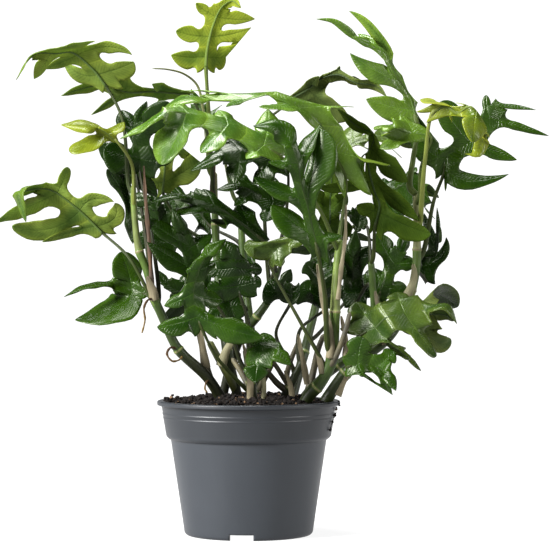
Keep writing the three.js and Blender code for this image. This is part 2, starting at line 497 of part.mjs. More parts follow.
// A closed round bar along a curve, with its radius a function of the share of the way, and longer by
// "over" at both ends.
function bar(curve, steps, sides, radiusAt, over = 0) {
  const frames = curve.computeFrenetFrames(steps, false);
  const points = [];
  const triangles = [];
  for (let i = 0; i <= steps; i++) {
    const share = i / steps;
    const centre = curve.getPointAt(share);
    if (i === 0) centre.addScaledVector(frames.tangents[0], -over);
    if (i === steps) centre.addScaledVector(frames.tangents[steps], over);
    for (let j = 0; j < sides; j++) {
      const turn = (2 * Math.PI * j) / sides;
      const offset = frames.normals[i]
        .clone()
        .multiplyScalar(Math.cos(turn))
        .addScaledVector(frames.binormals[i], Math.sin(turn));
      points.push(...centre.clone().addScaledVector(offset, radiusAt(share)).toArray());
    }
  }
  for (let i = 0; i < steps; i++) {
    for (let j = 0; j < sides; j++) {
      const next = (j + 1) % sides;
      const [a, b, c, d] = [i * sides + j, i * sides + next, (i + 1) * sides + next, (i + 1) * sides + j];
      triangles.push(a, b, c, a, c, d);
    }
  }
  const last = steps * sides;
  for (let j = 1; j < sides - 1; j++) {
    triangles.push(0, j + 1, j, last, last + j, last + j + 1);
  }
  const geometry = new THREE.BufferGeometry();
  geometry.setAttribute("position", new THREE.Float32BufferAttribute(points, 3));
  geometry.setIndex(triangles);
  return geometry;
}

// A smooth curve through points of the front view.
function curveThrough(path) {
  return new THREE.CatmullRomCurve3(path.map(at), false, "centripetal");
}

// How far a lobe's edge stands off its vein, over its widest, at a share q of the way out to the lobe's
// tip.
function lobeProfile(q, blunt) {
  const neck = 0.6 + 0.4 * ease(q / 0.38);
  return neck * (1 - q ** (2.0 + 2.8 * blunt)) ** (0.85 - 0.35 * blunt) * (0.86 + 0.3 * q * (1 - q));
}

// A smooth step from 0 to 1.
function ease(x) {
  const t = Math.min(1, Math.max(0, x));
  return t * t * (3 - 2 * t);
}

// One lobe's vein: from its root on the midrib to its tip, bent towards its own place or a little
// backwards.
function lobeVein(rib, root, tip, face) {
  const start = rib.getPointAt(root);
  const [px, py, offset, width = 1, blunt = 0, bendX, bendY, bendOffset] = tip;
  const end = at([px, py, start.y + offset]);
  const length = end.distanceTo(start);
  const bend = bendX
    ? at([bendX, bendY, start.y + bendOffset])
    : start.clone().lerp(end, 0.5).addScaledVector(rib.getTangentAt(root), -0.1 * length);
  bend.addScaledVector(face, VEIN_LIFT * length);
  const curve = new THREE.QuadraticBezierCurve3(start, bend, end);
  return { curve, root, start, end, length, width, blunt, face };
}

// The midrib of a blade: a smooth curve from the base through the points given to the tip.
function midrib(leaf) {
  const [, , depth] = leaf.base;
  const points = leaf.rib.map(([px, py, offset]) => at([px, py, depth + offset]));
  return new THREE.CatmullRomCurve3([at(leaf.base), ...points], false, "centripetal");
}

// The boundaries between the lobes of one side: where each starts on the midrib and the bottom of its cut.
function boundaries(rib, veins, places) {
  return places.map((place, j) => {
    const foot = rib.getPointAt(place);
    const beside = [veins[j - 1], veins[j]].filter(Boolean);
    const reach = j === 0 ? (veins.length > 1 ? 1.5 : 0.7) : 1;
    const bottom = new THREE.Vector3();
    for (const vein of beside) {
      const away = foot.clone().sub(vein.start).multiplyScalar(reach);
      bottom.add(vein.curve.getPoint(vein.web).add(away).divideScalar(beside.length));
    }
    return { foot, bottom };
  });
}

// The rows of one lobe from the midrib to its tip: in each, the near edge, the vein and the far edge.
function lobeRows(vein, beside, near, far, halfWidth, forward, joined, crowd, shares) {
  const middle = vein.curve.getPoint(vein.web);
  const share = crowd + 0.25 * Math.max(0, vein.web - WEB);
  const rows = [
    [near.foot, vein.start, far.foot],
    [near.bottom, middle, far.bottom],
  ];
  for (const q of shares) {
    const s = vein.web + (1 - vein.web) * q;
    const centre = vein.curve.getPoint(s);
    const across = vein.curve.getTangent(s).cross(vein.face).normalize();
    if (across.dot(forward) < 0) across.negate();
    const edge = (bottom, direction, neighbour) => {
      const room = neighbour ? share * centre.distanceTo(neighbour.curve.getPoint(s)) : halfWidth;
      const width = Math.min(halfWidth, room) * lobeProfile(q, vein.blunt);
      const free = centre.clone().addScaledVector(across, direction * width);
      const carried = bottom.clone().add(centre).sub(middle);
      return carried.lerp(free, ease(q / 0.3));
    };
    const row = [edge(near.bottom, -1, beside.near), centre, edge(far.bottom, 1, beside.far)];
    const seam = (other) => centre.clone().lerp(other.curve.getPoint(other.web + (1 - other.web) * q), 0.5);
    if (joined.near && q > HOLE_END) row[0] = seam(joined.near);
    if (joined.far && q > HOLE_END) row[2] = seam(joined.far);
    rows.push(row);
  }
  return rows;
}

// The rows of half the end lobe, from the last boundary to the leaf's tip: in each, the midrib and the
// edge.
function endRows(rib, last, bottom, hand, faceAt, web, fullness, shares) {
  const foot = rib.getPointAt(last);
  const length = rib.getLength() * (1 - last);
  const slender = fullness * (0.24 * length + 1.5);
  const widest = web > WEB ? Math.max(slender, 0.8 * foot.distanceTo(bottom)) : slender;
  const rows = [[foot, bottom]];
  for (const q of shares) {
    const place = last + (1 - last) * q;
    const centre = rib.getPointAt(place);
    const across = rib.getTangentAt(place).cross(faceAt(place)).normalize();
    const free = centre.clone().addScaledVector(across, hand * widest * lobeProfile(q, 0));
    const carried = bottom.clone().add(centre).sub(foot);
    rows.push([centre, carried.lerp(free, ease(q / 0.3))]);
  }
  return rows;
}

// Adds rows of points to a sheet as a grid of triangles.
function addRows(points, triangles, rows, mirrored) {
  const wide = rows[0].length;
  const first = points.length / 3;
  for (const p of rows.flat()) points.push(p.x, p.y, p.z);
  for (let row = 0; row < rows.length - 1; row++) {
    for (let column = 0; column < wide - 1; column++) {
      const a = first + row * wide + column;
      const [b, c, d] = [a + 1, a + wide + 1, a + wide];
      if (mirrored) triangles.push(a, c, b, a, d, c);
      else triangles.push(a, b, c, a, c, d);
    }
  }
}

// How far the veins of one side lean towards the side that the midrib's tangent crossed with the face
// points to.
function lean(veins, rib, faceAt) {
  const sum = veins.reduce((total, { curve, root }) => {
    const across = rib.getTangentAt(root).cross(faceAt(root)).normalize();
    return total + curve.v1.clone().sub(curve.v0).dot(across);
  }, 0);
  return sum / veins.length;
}

// A blade as one sheet of triangles: the lobes of both sides and the two halves of the end lobe.
function bladeSheet(leaf) {
  const rib = midrib(leaf);
  const web = leaf.web ?? WEB;
  const start = new THREE.Vector3(...leaf.face);
  const finish = new THREE.Vector3(...(leaf.endFace ?? leaf.face));
  const faceAt = (place) => start.clone().lerp(finish, place).normalize();
  const count = leaf.sides[0].length;
  const places = leaf.places ?? EVEN_PLACES[count];
  const shares = leaf.plain ? PLAIN_ROWS : LOBE_ROWS;
  const halves = leaf.sides.map((tips) => tips.map((tip, i) => {
    const root = 0.5 * (places[i] + places[i + 1]);
    return lobeVein(rib, root, tip, faceAt(root));
  }));
  const leaning = lean(halves[0], rib, faceAt) > lean(halves[1], rib, faceAt) ? 1 : -1;
  const points = [];
  const triangles = [];
  halves.forEach((veins, side) => {
    const hand = side === 0 ? leaning : -leaning;
    const reach = (web * veins.reduce((sum, vein) => sum + vein.length, 0)) / count;
    for (const vein of veins) vein.web = Math.min(0.8, reach / vein.length);
    const bounds = boundaries(rib, veins, places);
    const holes = leaf.holes?.[side] ?? [];
    veins.forEach((vein, i) => {
      const [near, far] = [bounds[i], bounds[i + 1]];
      const halfWidth = Math.min(0.42 * near.foot.distanceTo(far.foot), 0.36 * vein.length) * vein.width;
      const forward = rib.getTangentAt(vein.root);
      const beside = { near: veins[i - 1], far: veins[i + 1] };
      const joined = { near: holes.includes(i) && beside.near, far: holes.includes(i + 1) && beside.far };
      const crowd = leaf.crowd ?? CROWD;
      const rows = lobeRows(vein, beside, near, far, halfWidth, forward, joined, crowd, shares);
      addRows(points, triangles, rows, hand > 0);
    });
    const { bottom } = bounds[count];
    const ending = endRows(rib, places[count], bottom, hand, faceAt, web, leaf.end ?? 1, shares);
    addRows(points, triangles, ending, hand < 0);
  });
  const sheet = new THREE.BufferGeometry();
  sheet.setAttribute("position", new THREE.Float32BufferAttribute(points, 3));
  sheet.setIndex(triangles);
  return { sheet: mergeVertices(sheet, 1e-3), rib, face: faceAt(0) };
}

// A sheet given a thickness: the sheet raised, the sheet lowered and turned over, and a rim along open
// edges.
function thickened(sheet, thickness) {
  sheet.computeVertexNormals();
  const place = sheet.attributes.position;
  const normal = sheet.attributes.normal;
  const count = place.count;
  const points = [];
  for (const side of [0.5, -0.5]) {
    for (let i = 0; i < count; i++) {
      const p = new THREE.Vector3().fromBufferAttribute(place, i);
      const n = new THREE.Vector3().fromBufferAttribute(normal, i);
      points.push(...p.addScaledVector(n, side * thickness).toArray());
    }
  }
  const faces = [];
  for (let i = 0; i < sheet.index.count; i += 3) {
    const face = [0, 1, 2].map((k) => sheet.index.getX(i + k));
    if (new Set(face).size === 3) faces.push(face);
  }
  const edges = new Set(faces.flatMap(([a, b, c]) => [a + "_" + b, b + "_" + c, c + "_" + a]));
  const triangles = [];
  for (const [a, b, c] of faces) {
    triangles.push(a, b, c, count + a, count + c, count + b);
    for (const [from, to] of [[a, b], [b, c], [c, a]]) {
      if (edges.has(to + "_" + from)) continue;
      triangles.push(to, from, count + from, to, count + from, count + to);
    }
  }
  const geometry = new THREE.BufferGeometry();
  geometry.setAttribute("position", new THREE.Float32BufferAttribute(points, 3));
  geometry.setIndex(triangles);
  return geometry;
}

// The curve of a petiole: out of the stem, through its own points and into the underside of the blade.
function petioleCurve(leaf, stem, rib, face) {
  const start = stem.curve.getPointAt(leaf.on);
  const rise = stem.curve.getTangentAt(leaf.on);
  const own = leaf.petiole.map(at);
  const base = rib.getPointAt(0);
  const towards = (own[0] ?? base).clone().sub(start).projectOnPlane(rise).normalize();
  const out = start.clone().addScaledVector(rise, 7).addScaledVector(towards, stem.radiusAt(leaf.on) + 2.6);
  const under = base.addScaledVector(face, -0.5);
  const inside = rib.getPointAt(0.08).addScaledVector(face, -0.5);
  return new THREE.CatmullRomCurve3([start, out, ...own, under, inside], false, "centripetal");
}

const group = new THREE.Group();

// Adds one named piece of the plant or pot.
function addPiece(name, geometry, colour, roughness) {
  const material = new THREE.MeshStandardMaterial({ color: colour, roughness, metalness: 0 });
  const mesh = new THREE.Mesh(geometry, material);
  mesh.name = name;
  group.add(mesh);
}

// A stem's radius: a taper with a slight swelling at each ring.
function stemRadius(stem, extra) {
  return (share) => {
    const swell = stem.rings.reduce((sum, ring) => sum + Math.exp(-(((share - ring) / 0.025) ** 2)), 0);
    return stem.foot + (stem.top - stem.foot) * share + RING_SWELL * swell + extra;
  };
}

const stems = {};
for (const [letter, stem] of Object.entries(STEMS)) {
  const curve = curveThrough(stem.path);
  const steps = Math.max(7, stem.path.length + 5);
  let solid = solidOf(bar(curve, steps, STEM_SIDES, stemRadius(stem, 0)));
  for (const root of ROOTS.filter((growth) => growth.stem === letter)) {
    const slim = (share) => ROOT_RADIUS * (1.15 - 0.5 * share);
    solid = solid.add(solidOf(bar(curveThrough(root.path), 6, 4, slim)));
  }
  for (const shoot of SHOOTS.filter((growth) => growth.stem === letter)) {
    const taper = (share) => shoot.foot + (shoot.top - shoot.foot) * share;
    solid = solid.add(solidOf(bar(curveThrough(shoot.path), 5, 5, taper)));
  }
  const fat = solidOf(bar(curve, steps, STEM_SIDES, stemRadius(stem, CLEARANCE), CLEARANCE));
  stems[letter] = { curve, solid, fat, radiusAt: stemRadius(stem, 0) };
  addPiece("stem_" + letter, geometryOf(solid), STEM_COLOUR, 0.5);
}

for (const leaf of LEAVES) {
  const stem = stems[leaf.stem];
  const { sheet, rib, face } = bladeSheet(leaf);
  const blade = solidOf(thickened(sheet, BLADE_THICKNESS));
  const slim = (share) => (leaf.stout ?? 1) * (1.35 + 1.3 * (1 - share));
  const curve = petioleCurve(leaf, stem, rib, face);
  const petiole = solidOf(bar(curve, PETIOLE_STEPS + leaf.petiole.length, PETIOLE_SIDES, slim));
  const free = largestBody(petiole.subtract(stem.fat));
  addPiece("leaf_" + leaf.name, geometryOf(largestBody(blade.add(free))), LEAF_COLOUR, 0.45);
}

// The pot's wall, floor, foot and middle pad in one profile, with notches cut through the foot and drain
// holes through the floor.
function potSolid() {
  const outer = [
    [FOOT_RADIUS - 2, 0],
    [FOOT_RADIUS, 2],
    [BODY_TOP_RADIUS, BAND_BOTTOM - 2],
    [BAND_BOTTOM_RADIUS - 2.5, BAND_BOTTOM - 1.2],
    [BAND_BOTTOM_RADIUS, BAND_BOTTOM + 1],
    [POT_RADIUS - LIP_WIDTH, POT_HEIGHT - LIP_HEIGHT],
    [POT_RADIUS, POT_HEIGHT - LIP_HEIGHT + 0.6],
    [POT_RADIUS, POT_HEIGHT - 0.8],
    [POT_RADIUS - 1, POT_HEIGHT],
  ];
  const inner = [
    [POT_RADIUS - LIP_WIDTH - WALL, POT_HEIGHT],
    [BAND_BOTTOM_RADIUS - WALL, BAND_BOTTOM + 2],
    [BODY_TOP_RADIUS - WALL, BAND_BOTTOM - 1],
    [FOOT_RADIUS - WALL, FOOT_HEIGHT + FLOOR],
    [0, FOOT_HEIGHT + FLOOR],
    [0, 0],
    [PAD_RADIUS, 0],
    [PAD_RADIUS, FOOT_HEIGHT],
    [FOOT_RADIUS - 4.5, FOOT_HEIGHT],
    [FOOT_RADIUS - 4.5, 0],
  ];
  const profile = [...outer, ...inner, outer[0]].map(([r, z]) => new THREE.Vector2(r, z));
  const turned = new THREE.LatheGeometry(profile, POT_SIDES).rotateX(Math.PI / 2);
  let solid = solidOf(turned);
  for (const turn of NOTCH_TURNS) {
    const notch = new THREE.BoxGeometry(16, NOTCH_WIDTH, 2 * (FOOT_HEIGHT - 0.5));
    notch.translate(FOOT_RADIUS - 1, 0, 0).rotateZ(THREE.MathUtils.degToRad(turn));
    solid = solid.subtract(solidOf(notch));
  }
  for (const turn of DRAIN.turns) {
    const hole = new THREE.CylinderGeometry(DRAIN.radius, DRAIN.radius, 3 * FLOOR, DRAIN.sides);
    hole.rotateX(Math.PI / 2).translate(DRAIN.fromAxis, 0, FOOT_HEIGHT + FLOOR / 2);
    solid = solid.subtract(solidOf(hole.rotateZ(THREE.MathUtils.degToRad(turn))));
  }
  return solid;
}

// The compost: a solid of revolution with a rough crown, with a plain hole for each stem.
function compostSolid() {
  const roll = dice(7);
  const gap = CLEARANCE;
  const profile = [
    [0, FOOT_HEIGHT + FLOOR + gap],
    [FOOT_RADIUS - WALL - 1, FOOT_HEIGHT + FLOOR + gap],
    [BODY_TOP_RADIUS - WALL - 1.2, BAND_BOTTOM - 2],
    [BAND_BOTTOM_RADIUS - WALL - 0.8, BAND_BOTTOM + 8],
    [POT_RADIUS - LIP_WIDTH - WALL - 1.6, COMPOST_EDGE],
    [62, 125],
    [36, 128],
    [0, COMPOST_CROWN],
  ].map(([r, z]) => new THREE.Vector2(r, z));
  const turned = new THREE.LatheGeometry(profile, COMPOST_SIDES).rotateX(Math.PI / 2);
  const merged = mergeVertices(new THREE.BufferGeometry()
    .setAttribute("position", turned.attributes.position)
    .setIndex(turned.index), 1e-3);
  const place = merged.attributes.position;
  for (let i = 0; i < place.count; i++) {
    const radius = Math.hypot(place.getX(i), place.getY(i));
    if (place.getZ(i) > COMPOST_EDGE - 1 && radius < 70) place.setZ(i, place.getZ(i) + 3 * (roll() - 0.5));
  }
  let solid = solidOf(merged);
  for (const { fat } of Object.values(stems)) solid = solid.subtract(fat);
  return largestBody(solid);
}

addPiece("pot", geometryOf(potSolid()), POT_COLOUR, 0.45);
addPiece("compost", geometryOf(compostSolid()), COMPOST_COLOUR, 0.95);

export default group;
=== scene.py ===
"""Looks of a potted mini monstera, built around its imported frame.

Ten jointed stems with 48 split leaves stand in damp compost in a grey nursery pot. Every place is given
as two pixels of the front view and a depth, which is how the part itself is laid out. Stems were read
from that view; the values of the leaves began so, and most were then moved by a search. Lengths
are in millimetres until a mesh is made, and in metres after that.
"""
import logging
from collections.abc import Sequence
from dataclasses import dataclass, field
from enum import Enum
from typing import Any

import bpy
import numpy as np
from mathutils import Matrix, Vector


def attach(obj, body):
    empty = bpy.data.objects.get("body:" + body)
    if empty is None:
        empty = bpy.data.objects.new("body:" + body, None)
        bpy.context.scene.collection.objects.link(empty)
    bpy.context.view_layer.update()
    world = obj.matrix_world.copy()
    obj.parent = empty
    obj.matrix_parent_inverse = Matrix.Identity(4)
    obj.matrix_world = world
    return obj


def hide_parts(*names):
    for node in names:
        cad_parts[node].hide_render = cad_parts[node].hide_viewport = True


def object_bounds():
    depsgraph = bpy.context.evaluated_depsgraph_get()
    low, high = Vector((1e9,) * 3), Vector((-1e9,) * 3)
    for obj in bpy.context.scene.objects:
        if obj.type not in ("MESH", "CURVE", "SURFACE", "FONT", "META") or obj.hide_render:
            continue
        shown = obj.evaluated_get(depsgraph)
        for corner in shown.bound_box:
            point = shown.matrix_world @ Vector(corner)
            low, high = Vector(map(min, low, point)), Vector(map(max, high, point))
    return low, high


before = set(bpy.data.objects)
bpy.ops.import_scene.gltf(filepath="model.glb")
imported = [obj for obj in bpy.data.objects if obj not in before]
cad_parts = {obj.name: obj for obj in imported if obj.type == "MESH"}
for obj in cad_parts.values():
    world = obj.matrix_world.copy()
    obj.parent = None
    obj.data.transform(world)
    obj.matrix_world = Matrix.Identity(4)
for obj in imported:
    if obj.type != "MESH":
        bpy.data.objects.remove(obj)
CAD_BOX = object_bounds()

LOG = logging.getLogger("potted_plant")
METRE = 0.001  # metres in a millimetre
Array = np.ndarray


# Colour and nodes

def linear(colour: str) -> tuple[float, float, float, float]:
    """Turns an sRGB hex colour to linear light.

    Args:
        colour: six hex digits after a hash sign.

    Returns:
        Red, green, blue and an alpha of one.
    """
    channels = np.array([int(colour[i:i + 2], 16) for i in (1, 3, 5)]) / 255
    light = np.where(channels <= 0.04045, channels / 12.92, ((channels + 0.055) / 1.055) ** 2.4)
    return (*light.tolist(), 1.0)


def add_node(tree: bpy.types.NodeTree, kind: str, settings: dict | None = None, **inputs) -> bpy.types.Node:
    """Adds a node with its settings, values and links.

    Args:
        tree: the node tree of a material.
        kind: the node's type without the leading ShaderNode.
        settings: properties of the node itself.
        inputs: for each socket, named with underscores or as in followed by its number, the socket that
            feeds it or its value.

    Returns:
        The new node.
    """
    node = tree.nodes.new("ShaderNode" + kind)
    for name, value in (settings or {}).items():
        setattr(node, name, value)
    for name, value in inputs.items():
        number = name.removeprefix("in")
        socket = node.inputs[int(number)] if number.isdigit() else node.inputs[name.replace("_", " ")]
        if isinstance(value, bpy.types.NodeSocket):
            tree.links.new(value, socket)
        else:
            socket.default_value = value
    return node


# Curves of the front view

@dataclass(frozen=True)
class FrontView:
    """The level view that places are given in.

    A pixel and a depth y give the place on the ray from the eye through the pixel at that depth.
    """

    mm_per_pixel: float = 0.929
    eye: tuple[float, float, float] = (24.4, -2044.0, 243.6)
    middle: tuple[float, float] = (275.0, 271.5)

    def at(self, places: Sequence) -> Array:
        """Gives the places in millimetres for rows of pixel x, pixel y and depth."""
        rows = np.asarray(places, float)
        reach = self.mm_per_pixel * (rows[..., 2] - self.eye[1]) / -self.eye[1]
        x = self.eye[0] + (rows[..., 0] - self.middle[0]) * reach
        z = self.eye[2] + (self.middle[1] - rows[..., 1]) * reach
        return np.stack([x, rows[..., 2], z], axis=-1)


VIEW = FrontView()


def unit(vectors: Array) -> Array:
    """Scales vectors to length one."""
    return vectors / np.maximum(np.linalg.norm(vectors, axis=-1, keepdims=True), 1e-9)


class SmoothPath:
    """A smooth curve through given points, read by its share of the way.

    Between two points it is a cubic whose end slopes come from the neighbouring points, with each
    stretch weighed by the square root of its length, so that it never loops or overshoots.
    """

    SAMPLES = 400

    def __init__(self, points: Array) -> None:
        """Keeps the points and measures the length along the curve."""
        ends = [2 * points[0] - points[1], 2 * points[-1] - points[-2]]
        self.padded = np.vstack([ends[0], points, ends[1]])
        self.count = len(points)
        self.grid = np.linspace(0, 1, self.SAMPLES + 1)
        steps = np.linalg.norm(np.diff(self.cubic(self.grid), axis=0), axis=1)
        self.lengths = np.concatenate([[0], np.cumsum(steps)])
        self.length = float(self.lengths[-1])

    def cubic(self, t: Array) -> Array:
        """Gives the points at t, which counts each stretch between two points as equally long."""
        p = t * (self.count - 1)
        cell = np.clip(np.floor(p).astype(int), 0, self.count - 2)
        w = (p - cell)[:, None]
        a, b, c, d = (self.padded[cell + k] for k in range(4))
        ab, bc, cd = (np.maximum(np.linalg.norm(q - p, axis=1), 1e-8)[:, None] ** 0.5
                      for p, q in ((a, b), (b, c), (c, d)))
        start = ((b - a) / ab - (c - a) / (ab + bc) + (c - b) / bc) * bc
        end = ((c - b) / bc - (d - b) / (bc + cd) + (d - c) / cd) * bc
        return (b + start * w + (3 * (c - b) - 2 * start - end) * w ** 2
                + (2 * (b - c) + start + end) * w ** 3)

    def at(self, share: Array | float) -> Array:
        """Gives the points at shares of the length."""
        way = np.clip(np.atleast_1d(share), 0, 1) * self.length
        return self.cubic(np.interp(way, self.lengths, self.grid))

    def tangent(self, share: Array | float) -> Array:
        """Gives the directions of travel at shares of the length."""
        share = np.atleast_1d(share)
        return unit(self.at(np.minimum(share + 2e-3, 1)) - self.at(np.maximum(share - 2e-3, 0)))


def carried_frames(tangents: Array) -> tuple[Array, Array]:
    """Carries a pair of cross directions along a path, turning them as little as the path turns.

    Args:
        tangents: the directions of travel, one row for each ring.

    Returns:
        Two unit directions across the path for each ring.
    """
    seed = np.eye(3)[np.argmin(np.abs(tangents[0]))]
    first = unit(np.cross(tangents[0], seed))
    normals = [first]
    for tangent in tangents[1:]:
        last = normals[-1]
        normals.append(unit(last - tangent * float(last @ tangent)))
    normals = np.array(normals)
    return normals, np.cross(tangents, normals)


# Meshes

@dataclass
class Skin:
    """Triangles with corner coordinates, gathered part by part and made one mesh.

    Each part is places, triangles, two coordinates for each corner's pattern, two for its shade, a
    material number and whether it is shaded smooth.
    """

    parts: list[tuple] = field(default_factory=list)

    def add(self, places: Array, triangles: Array, pattern: Array, shade: Array, material: int,
            smooth: bool = True) -> None:
        """Adds triangles, with the pattern and shade coordinates given for each corner."""
        self.parts.append((places, triangles, pattern, shade, material, smooth))

    def add_tube(self, path: SmoothPath, shares: Array, radius: Array, sides: int, material: int,
                 mark: Array | None = None) -> None:
        """Adds a closed bar along a path.

        Each ring is the path's point plus the radius times the cosine of the turn along one carried
        direction and the sine along the other. The ends close on the path itself. The pattern
        coordinates are the turn as a share and the millimetres along; the shade coordinates are the
        share of the way and the mark.

        Args:
            path: the middle line.
            shares: the share of the way of each ring.
            radius: the radius at each ring.
            sides: the number of sides.
            material: the material number.
            mark: a value at each ring that picks its shade.
        """
        centre, tangent = path.at(shares), path.tangent(shares)
        across, up = carried_frames(tangent)
        rings = len(shares)
        turn = np.linspace(0, 2 * np.pi, sides + 1)
        circle = np.cos(turn)[None, :, None] * across[:, None] + np.sin(turn)[None, :, None] * up[:, None]
        grid = centre[:, None] + radius[:, None, None] * circle
        grid = np.concatenate([np.repeat(centre[:1, None], sides + 1, 1), grid,
                               np.repeat(centre[-1:, None], sides + 1, 1)])
        way = np.concatenate([shares[:1], shares, shares[-1:]])
        mark = np.zeros(rings) if mark is None else mark
        mark = np.concatenate([mark[:1], mark, mark[-1:]])
        pattern = np.stack(np.broadcast_arrays(turn[None] / (2 * np.pi), (way * path.length)[:, None]), -1)
        shade = np.stack(np.broadcast_arrays(way[:, None], mark[:, None] + 0 * turn[None]), -1)
        self.add_grid(grid, pattern, shade, material, turned=True)

    def add_grid(self, grid: Array, pattern: Array, shade: Array, material: int, turned: bool = False,
                 smooth: bool = True) -> None:
        """Adds a grid of places, with its corners' coordinates, as two triangles to a cell.

        Args:
            grid: places in rows and columns.
            pattern: two coordinates for each place, for patterns.
            shade: two more, for shades.
            material: the material number.
            turned: whether the faces look the other way.
            smooth: whether the faces are shaded smooth.
        """
        triangles = grid_triangles(*grid.shape[:2], turned)
        flat = grid.reshape(-1, 3)
        self.add(flat, triangles, pattern.reshape(-1, 2)[triangles], shade.reshape(-1, 2)[triangles],
                 material, smooth)

    def build(self, name: str, materials: Sequence[bpy.types.Material]) -> bpy.types.Object:
        """Welds the parts' equal places, drops triangles without area and makes the object.

        Args:
            name: the piece's name.
            materials: the materials, in the order of the parts' numbers.

        Returns:
            The object, at the origin, with its place in its mesh.
        """
        firsts = np.cumsum([0] + [len(part[0]) for part in self.parts[:-1]])
        places = np.concatenate([part[0] for part in self.parts])
        triangles = np.concatenate([part[1] + first for part, first in zip(self.parts, firsts)])
        pattern, shade = (np.concatenate([part[k] for part in self.parts]) for k in (2, 3))
        material, smooth = (np.concatenate([np.full(len(part[1]), part[k]) for part in self.parts])
                            for k in (4, 5))
        index, welded = weld(places, triangles)
        keep = whole(welded)
        return make_object(name, places[index] * METRE, welded[keep], pattern[keep], shade[keep],
                           material[keep].astype(np.int32), smooth[keep], materials)


def weld(places: Array, triangles: Array) -> tuple[Array, Array]:
    """Joins places that are equal to within a few thousandths of a millimetre.

    Args:
        places: the places.
        triangles: three numbers of places for each face.

    Returns:
        The numbers of the places that stay, and the triangles counted in those.
    """
    key = np.round(places / 2e-3).astype(np.int64)
    _, index, inverse = np.unique(key, axis=0, return_index=True, return_inverse=True)
    return index, inverse.reshape(-1)[triangles]


def whole(triangles: Array) -> Array:
    """Tells which triangles have three different corners."""
    a, b, c = triangles.T
    return (a != b) & (b != c) & (c != a)


def grid_triangles(rows: int, columns: int, turned: bool = False) -> Array:
    """Gives the two triangles of each cell of a grid, as numbers of its places in reading order."""
    first = (np.arange(rows - 1)[:, None] * columns + np.arange(columns - 1)).reshape(-1)
    a, b, c, d = first, first + 1, first + columns + 1, first + columns
    triangles = np.concatenate([np.stack([a, b, c], 1), np.stack([a, c, d], 1)])
    return triangles[:, ::-1] if turned else triangles


def make_object(name: str, places: Array, triangles: Array, pattern: Array, shade: Array, material: Array,
                smooth: Array, materials: Sequence[bpy.types.Material]) -> bpy.types.Object:
    """Puts arrays into a mesh and links its object to the scene.

    Args:
        name: the piece's name.
        places: the vertices, in metres.
        triangles: three vertex numbers for each face.
        pattern: two coordinates for each corner, kept as the UV map named pattern.
        shade: two coordinates for each corner, kept as the UV map named shade.
        material: the material number of each face.
        smooth: whether each face is shaded smooth.
        materials: the materials.

    Returns:
        The object.
    """
    mesh = bpy.data.meshes.new(name)
    mesh.vertices.add(len(places))
    mesh.vertices.foreach_set("co", places.astype(np.float32).ravel())
    mesh.loops.add(triangles.size)
    mesh.loops.foreach_set("vertex_index", triangles.astype(np.int32).ravel())
    mesh.polygons.add(len(triangles))
    mesh.polygons.foreach_set("loop_start", np.arange(len(triangles), dtype=np.int32) * 3)
    for one in materials:
        mesh.materials.append(one)
    mesh.polygons.foreach_set("material_index", material)
    mesh.polygons.foreach_set("use_smooth", smooth)
    for title, values in (("pattern", pattern), ("shade", shade)):
        layer = mesh.uv_layers.new(name=title)
        layer.uv.foreach_set("vector", values.astype(np.float32).ravel())
    mesh.update(calc_edges=True)
    mesh.validate()
    piece = bpy.data.objects.new(name, mesh)
    bpy.context.scene.collection.objects.link(piece)
    return piece


def add_plate(skin: Skin, places: Array, triangles: Array, pattern: Array, shade: Array, thickness: Array,
              numbers: tuple[int, int, int], upper: Array | None = None) -> None:
    """Adds a sheet of triangles as a thin closed plate.

    The sheet's places are moved half the thickness along the mean direction of the faces around them,
    once up and once down, and a wall joins the two along each open edge.

    Args:
        skin: the mesh that grows.
        places: the sheet's places, where equal ones are welded.
        triangles: three numbers of places for each face.
        pattern: two coordinates for each place.
        shade: two more for each place.
        thickness: the thickness at each place.
        numbers: the material numbers of the upper face, the lower face and the wall.
        upper: a direction for each place that the upper face looks to, or None.
    """
    index, welded = weld(places, triangles)
    keep = whole(welded)
    welded, corners = welded[keep], triangles[keep]
    flat = places[index]
    normals = face_means(flat, welded)
    if upper is not None and float((normals * upper[index]).sum()) < 0:
        welded, corners, normals = welded[:, ::-1], corners[:, ::-1], -normals
    half = 0.5 * thickness[index][:, None]
    top, bottom = flat + normals * half, flat - normals * half
    skin.add(top, welded, pattern[corners], shade[corners], numbers[0])
    skin.add(bottom, welded[:, ::-1], pattern[corners[:, ::-1]], shade[corners[:, ::-1]], numbers[1])
    edges = np.concatenate([welded[:, [0, 1]], welded[:, [1, 2]], welded[:, [2, 0]]])
    sources = np.concatenate([corners[:, [0, 1]], corners[:, [1, 2]], corners[:, [2, 0]]])
    count = len(flat)
    lone = ~np.isin(edges[:, 0] * count + edges[:, 1], edges[:, 1] * count + edges[:, 0])
    start, end = edges[lone].T
    source_start, source_end = sources[lone].T
    walls = np.concatenate([np.stack([end, start, start + count], 1),
                            np.stack([end, start + count, end + count], 1)])
    owners = np.concatenate([np.stack([source_end, source_start, source_start], 1),
                             np.stack([source_end, source_start, source_end], 1)])
    skin.add(np.concatenate([top, bottom]), walls, pattern[owners], shade[owners], numbers[2], smooth=False)


def face_means(places: Array, triangles: Array) -> Array:
    """Gives each place the mean direction of the faces around it, weighed by their areas."""
    a, b, c = (places[triangles[:, k]] for k in range(3))
    areas = np.cross(b - a, c - a)
    sums = np.zeros_like(places)
    for k in range(3):
        np.add.at(sums, triangles[:, k], areas)
    return unit(sums)


def ease(x: Array) -> Array:
    """Gives a smooth step from 0 to 1."""
    t = np.clip(x, 0, 1)
    return t * t * (3 - 2 * t)


# Leaves

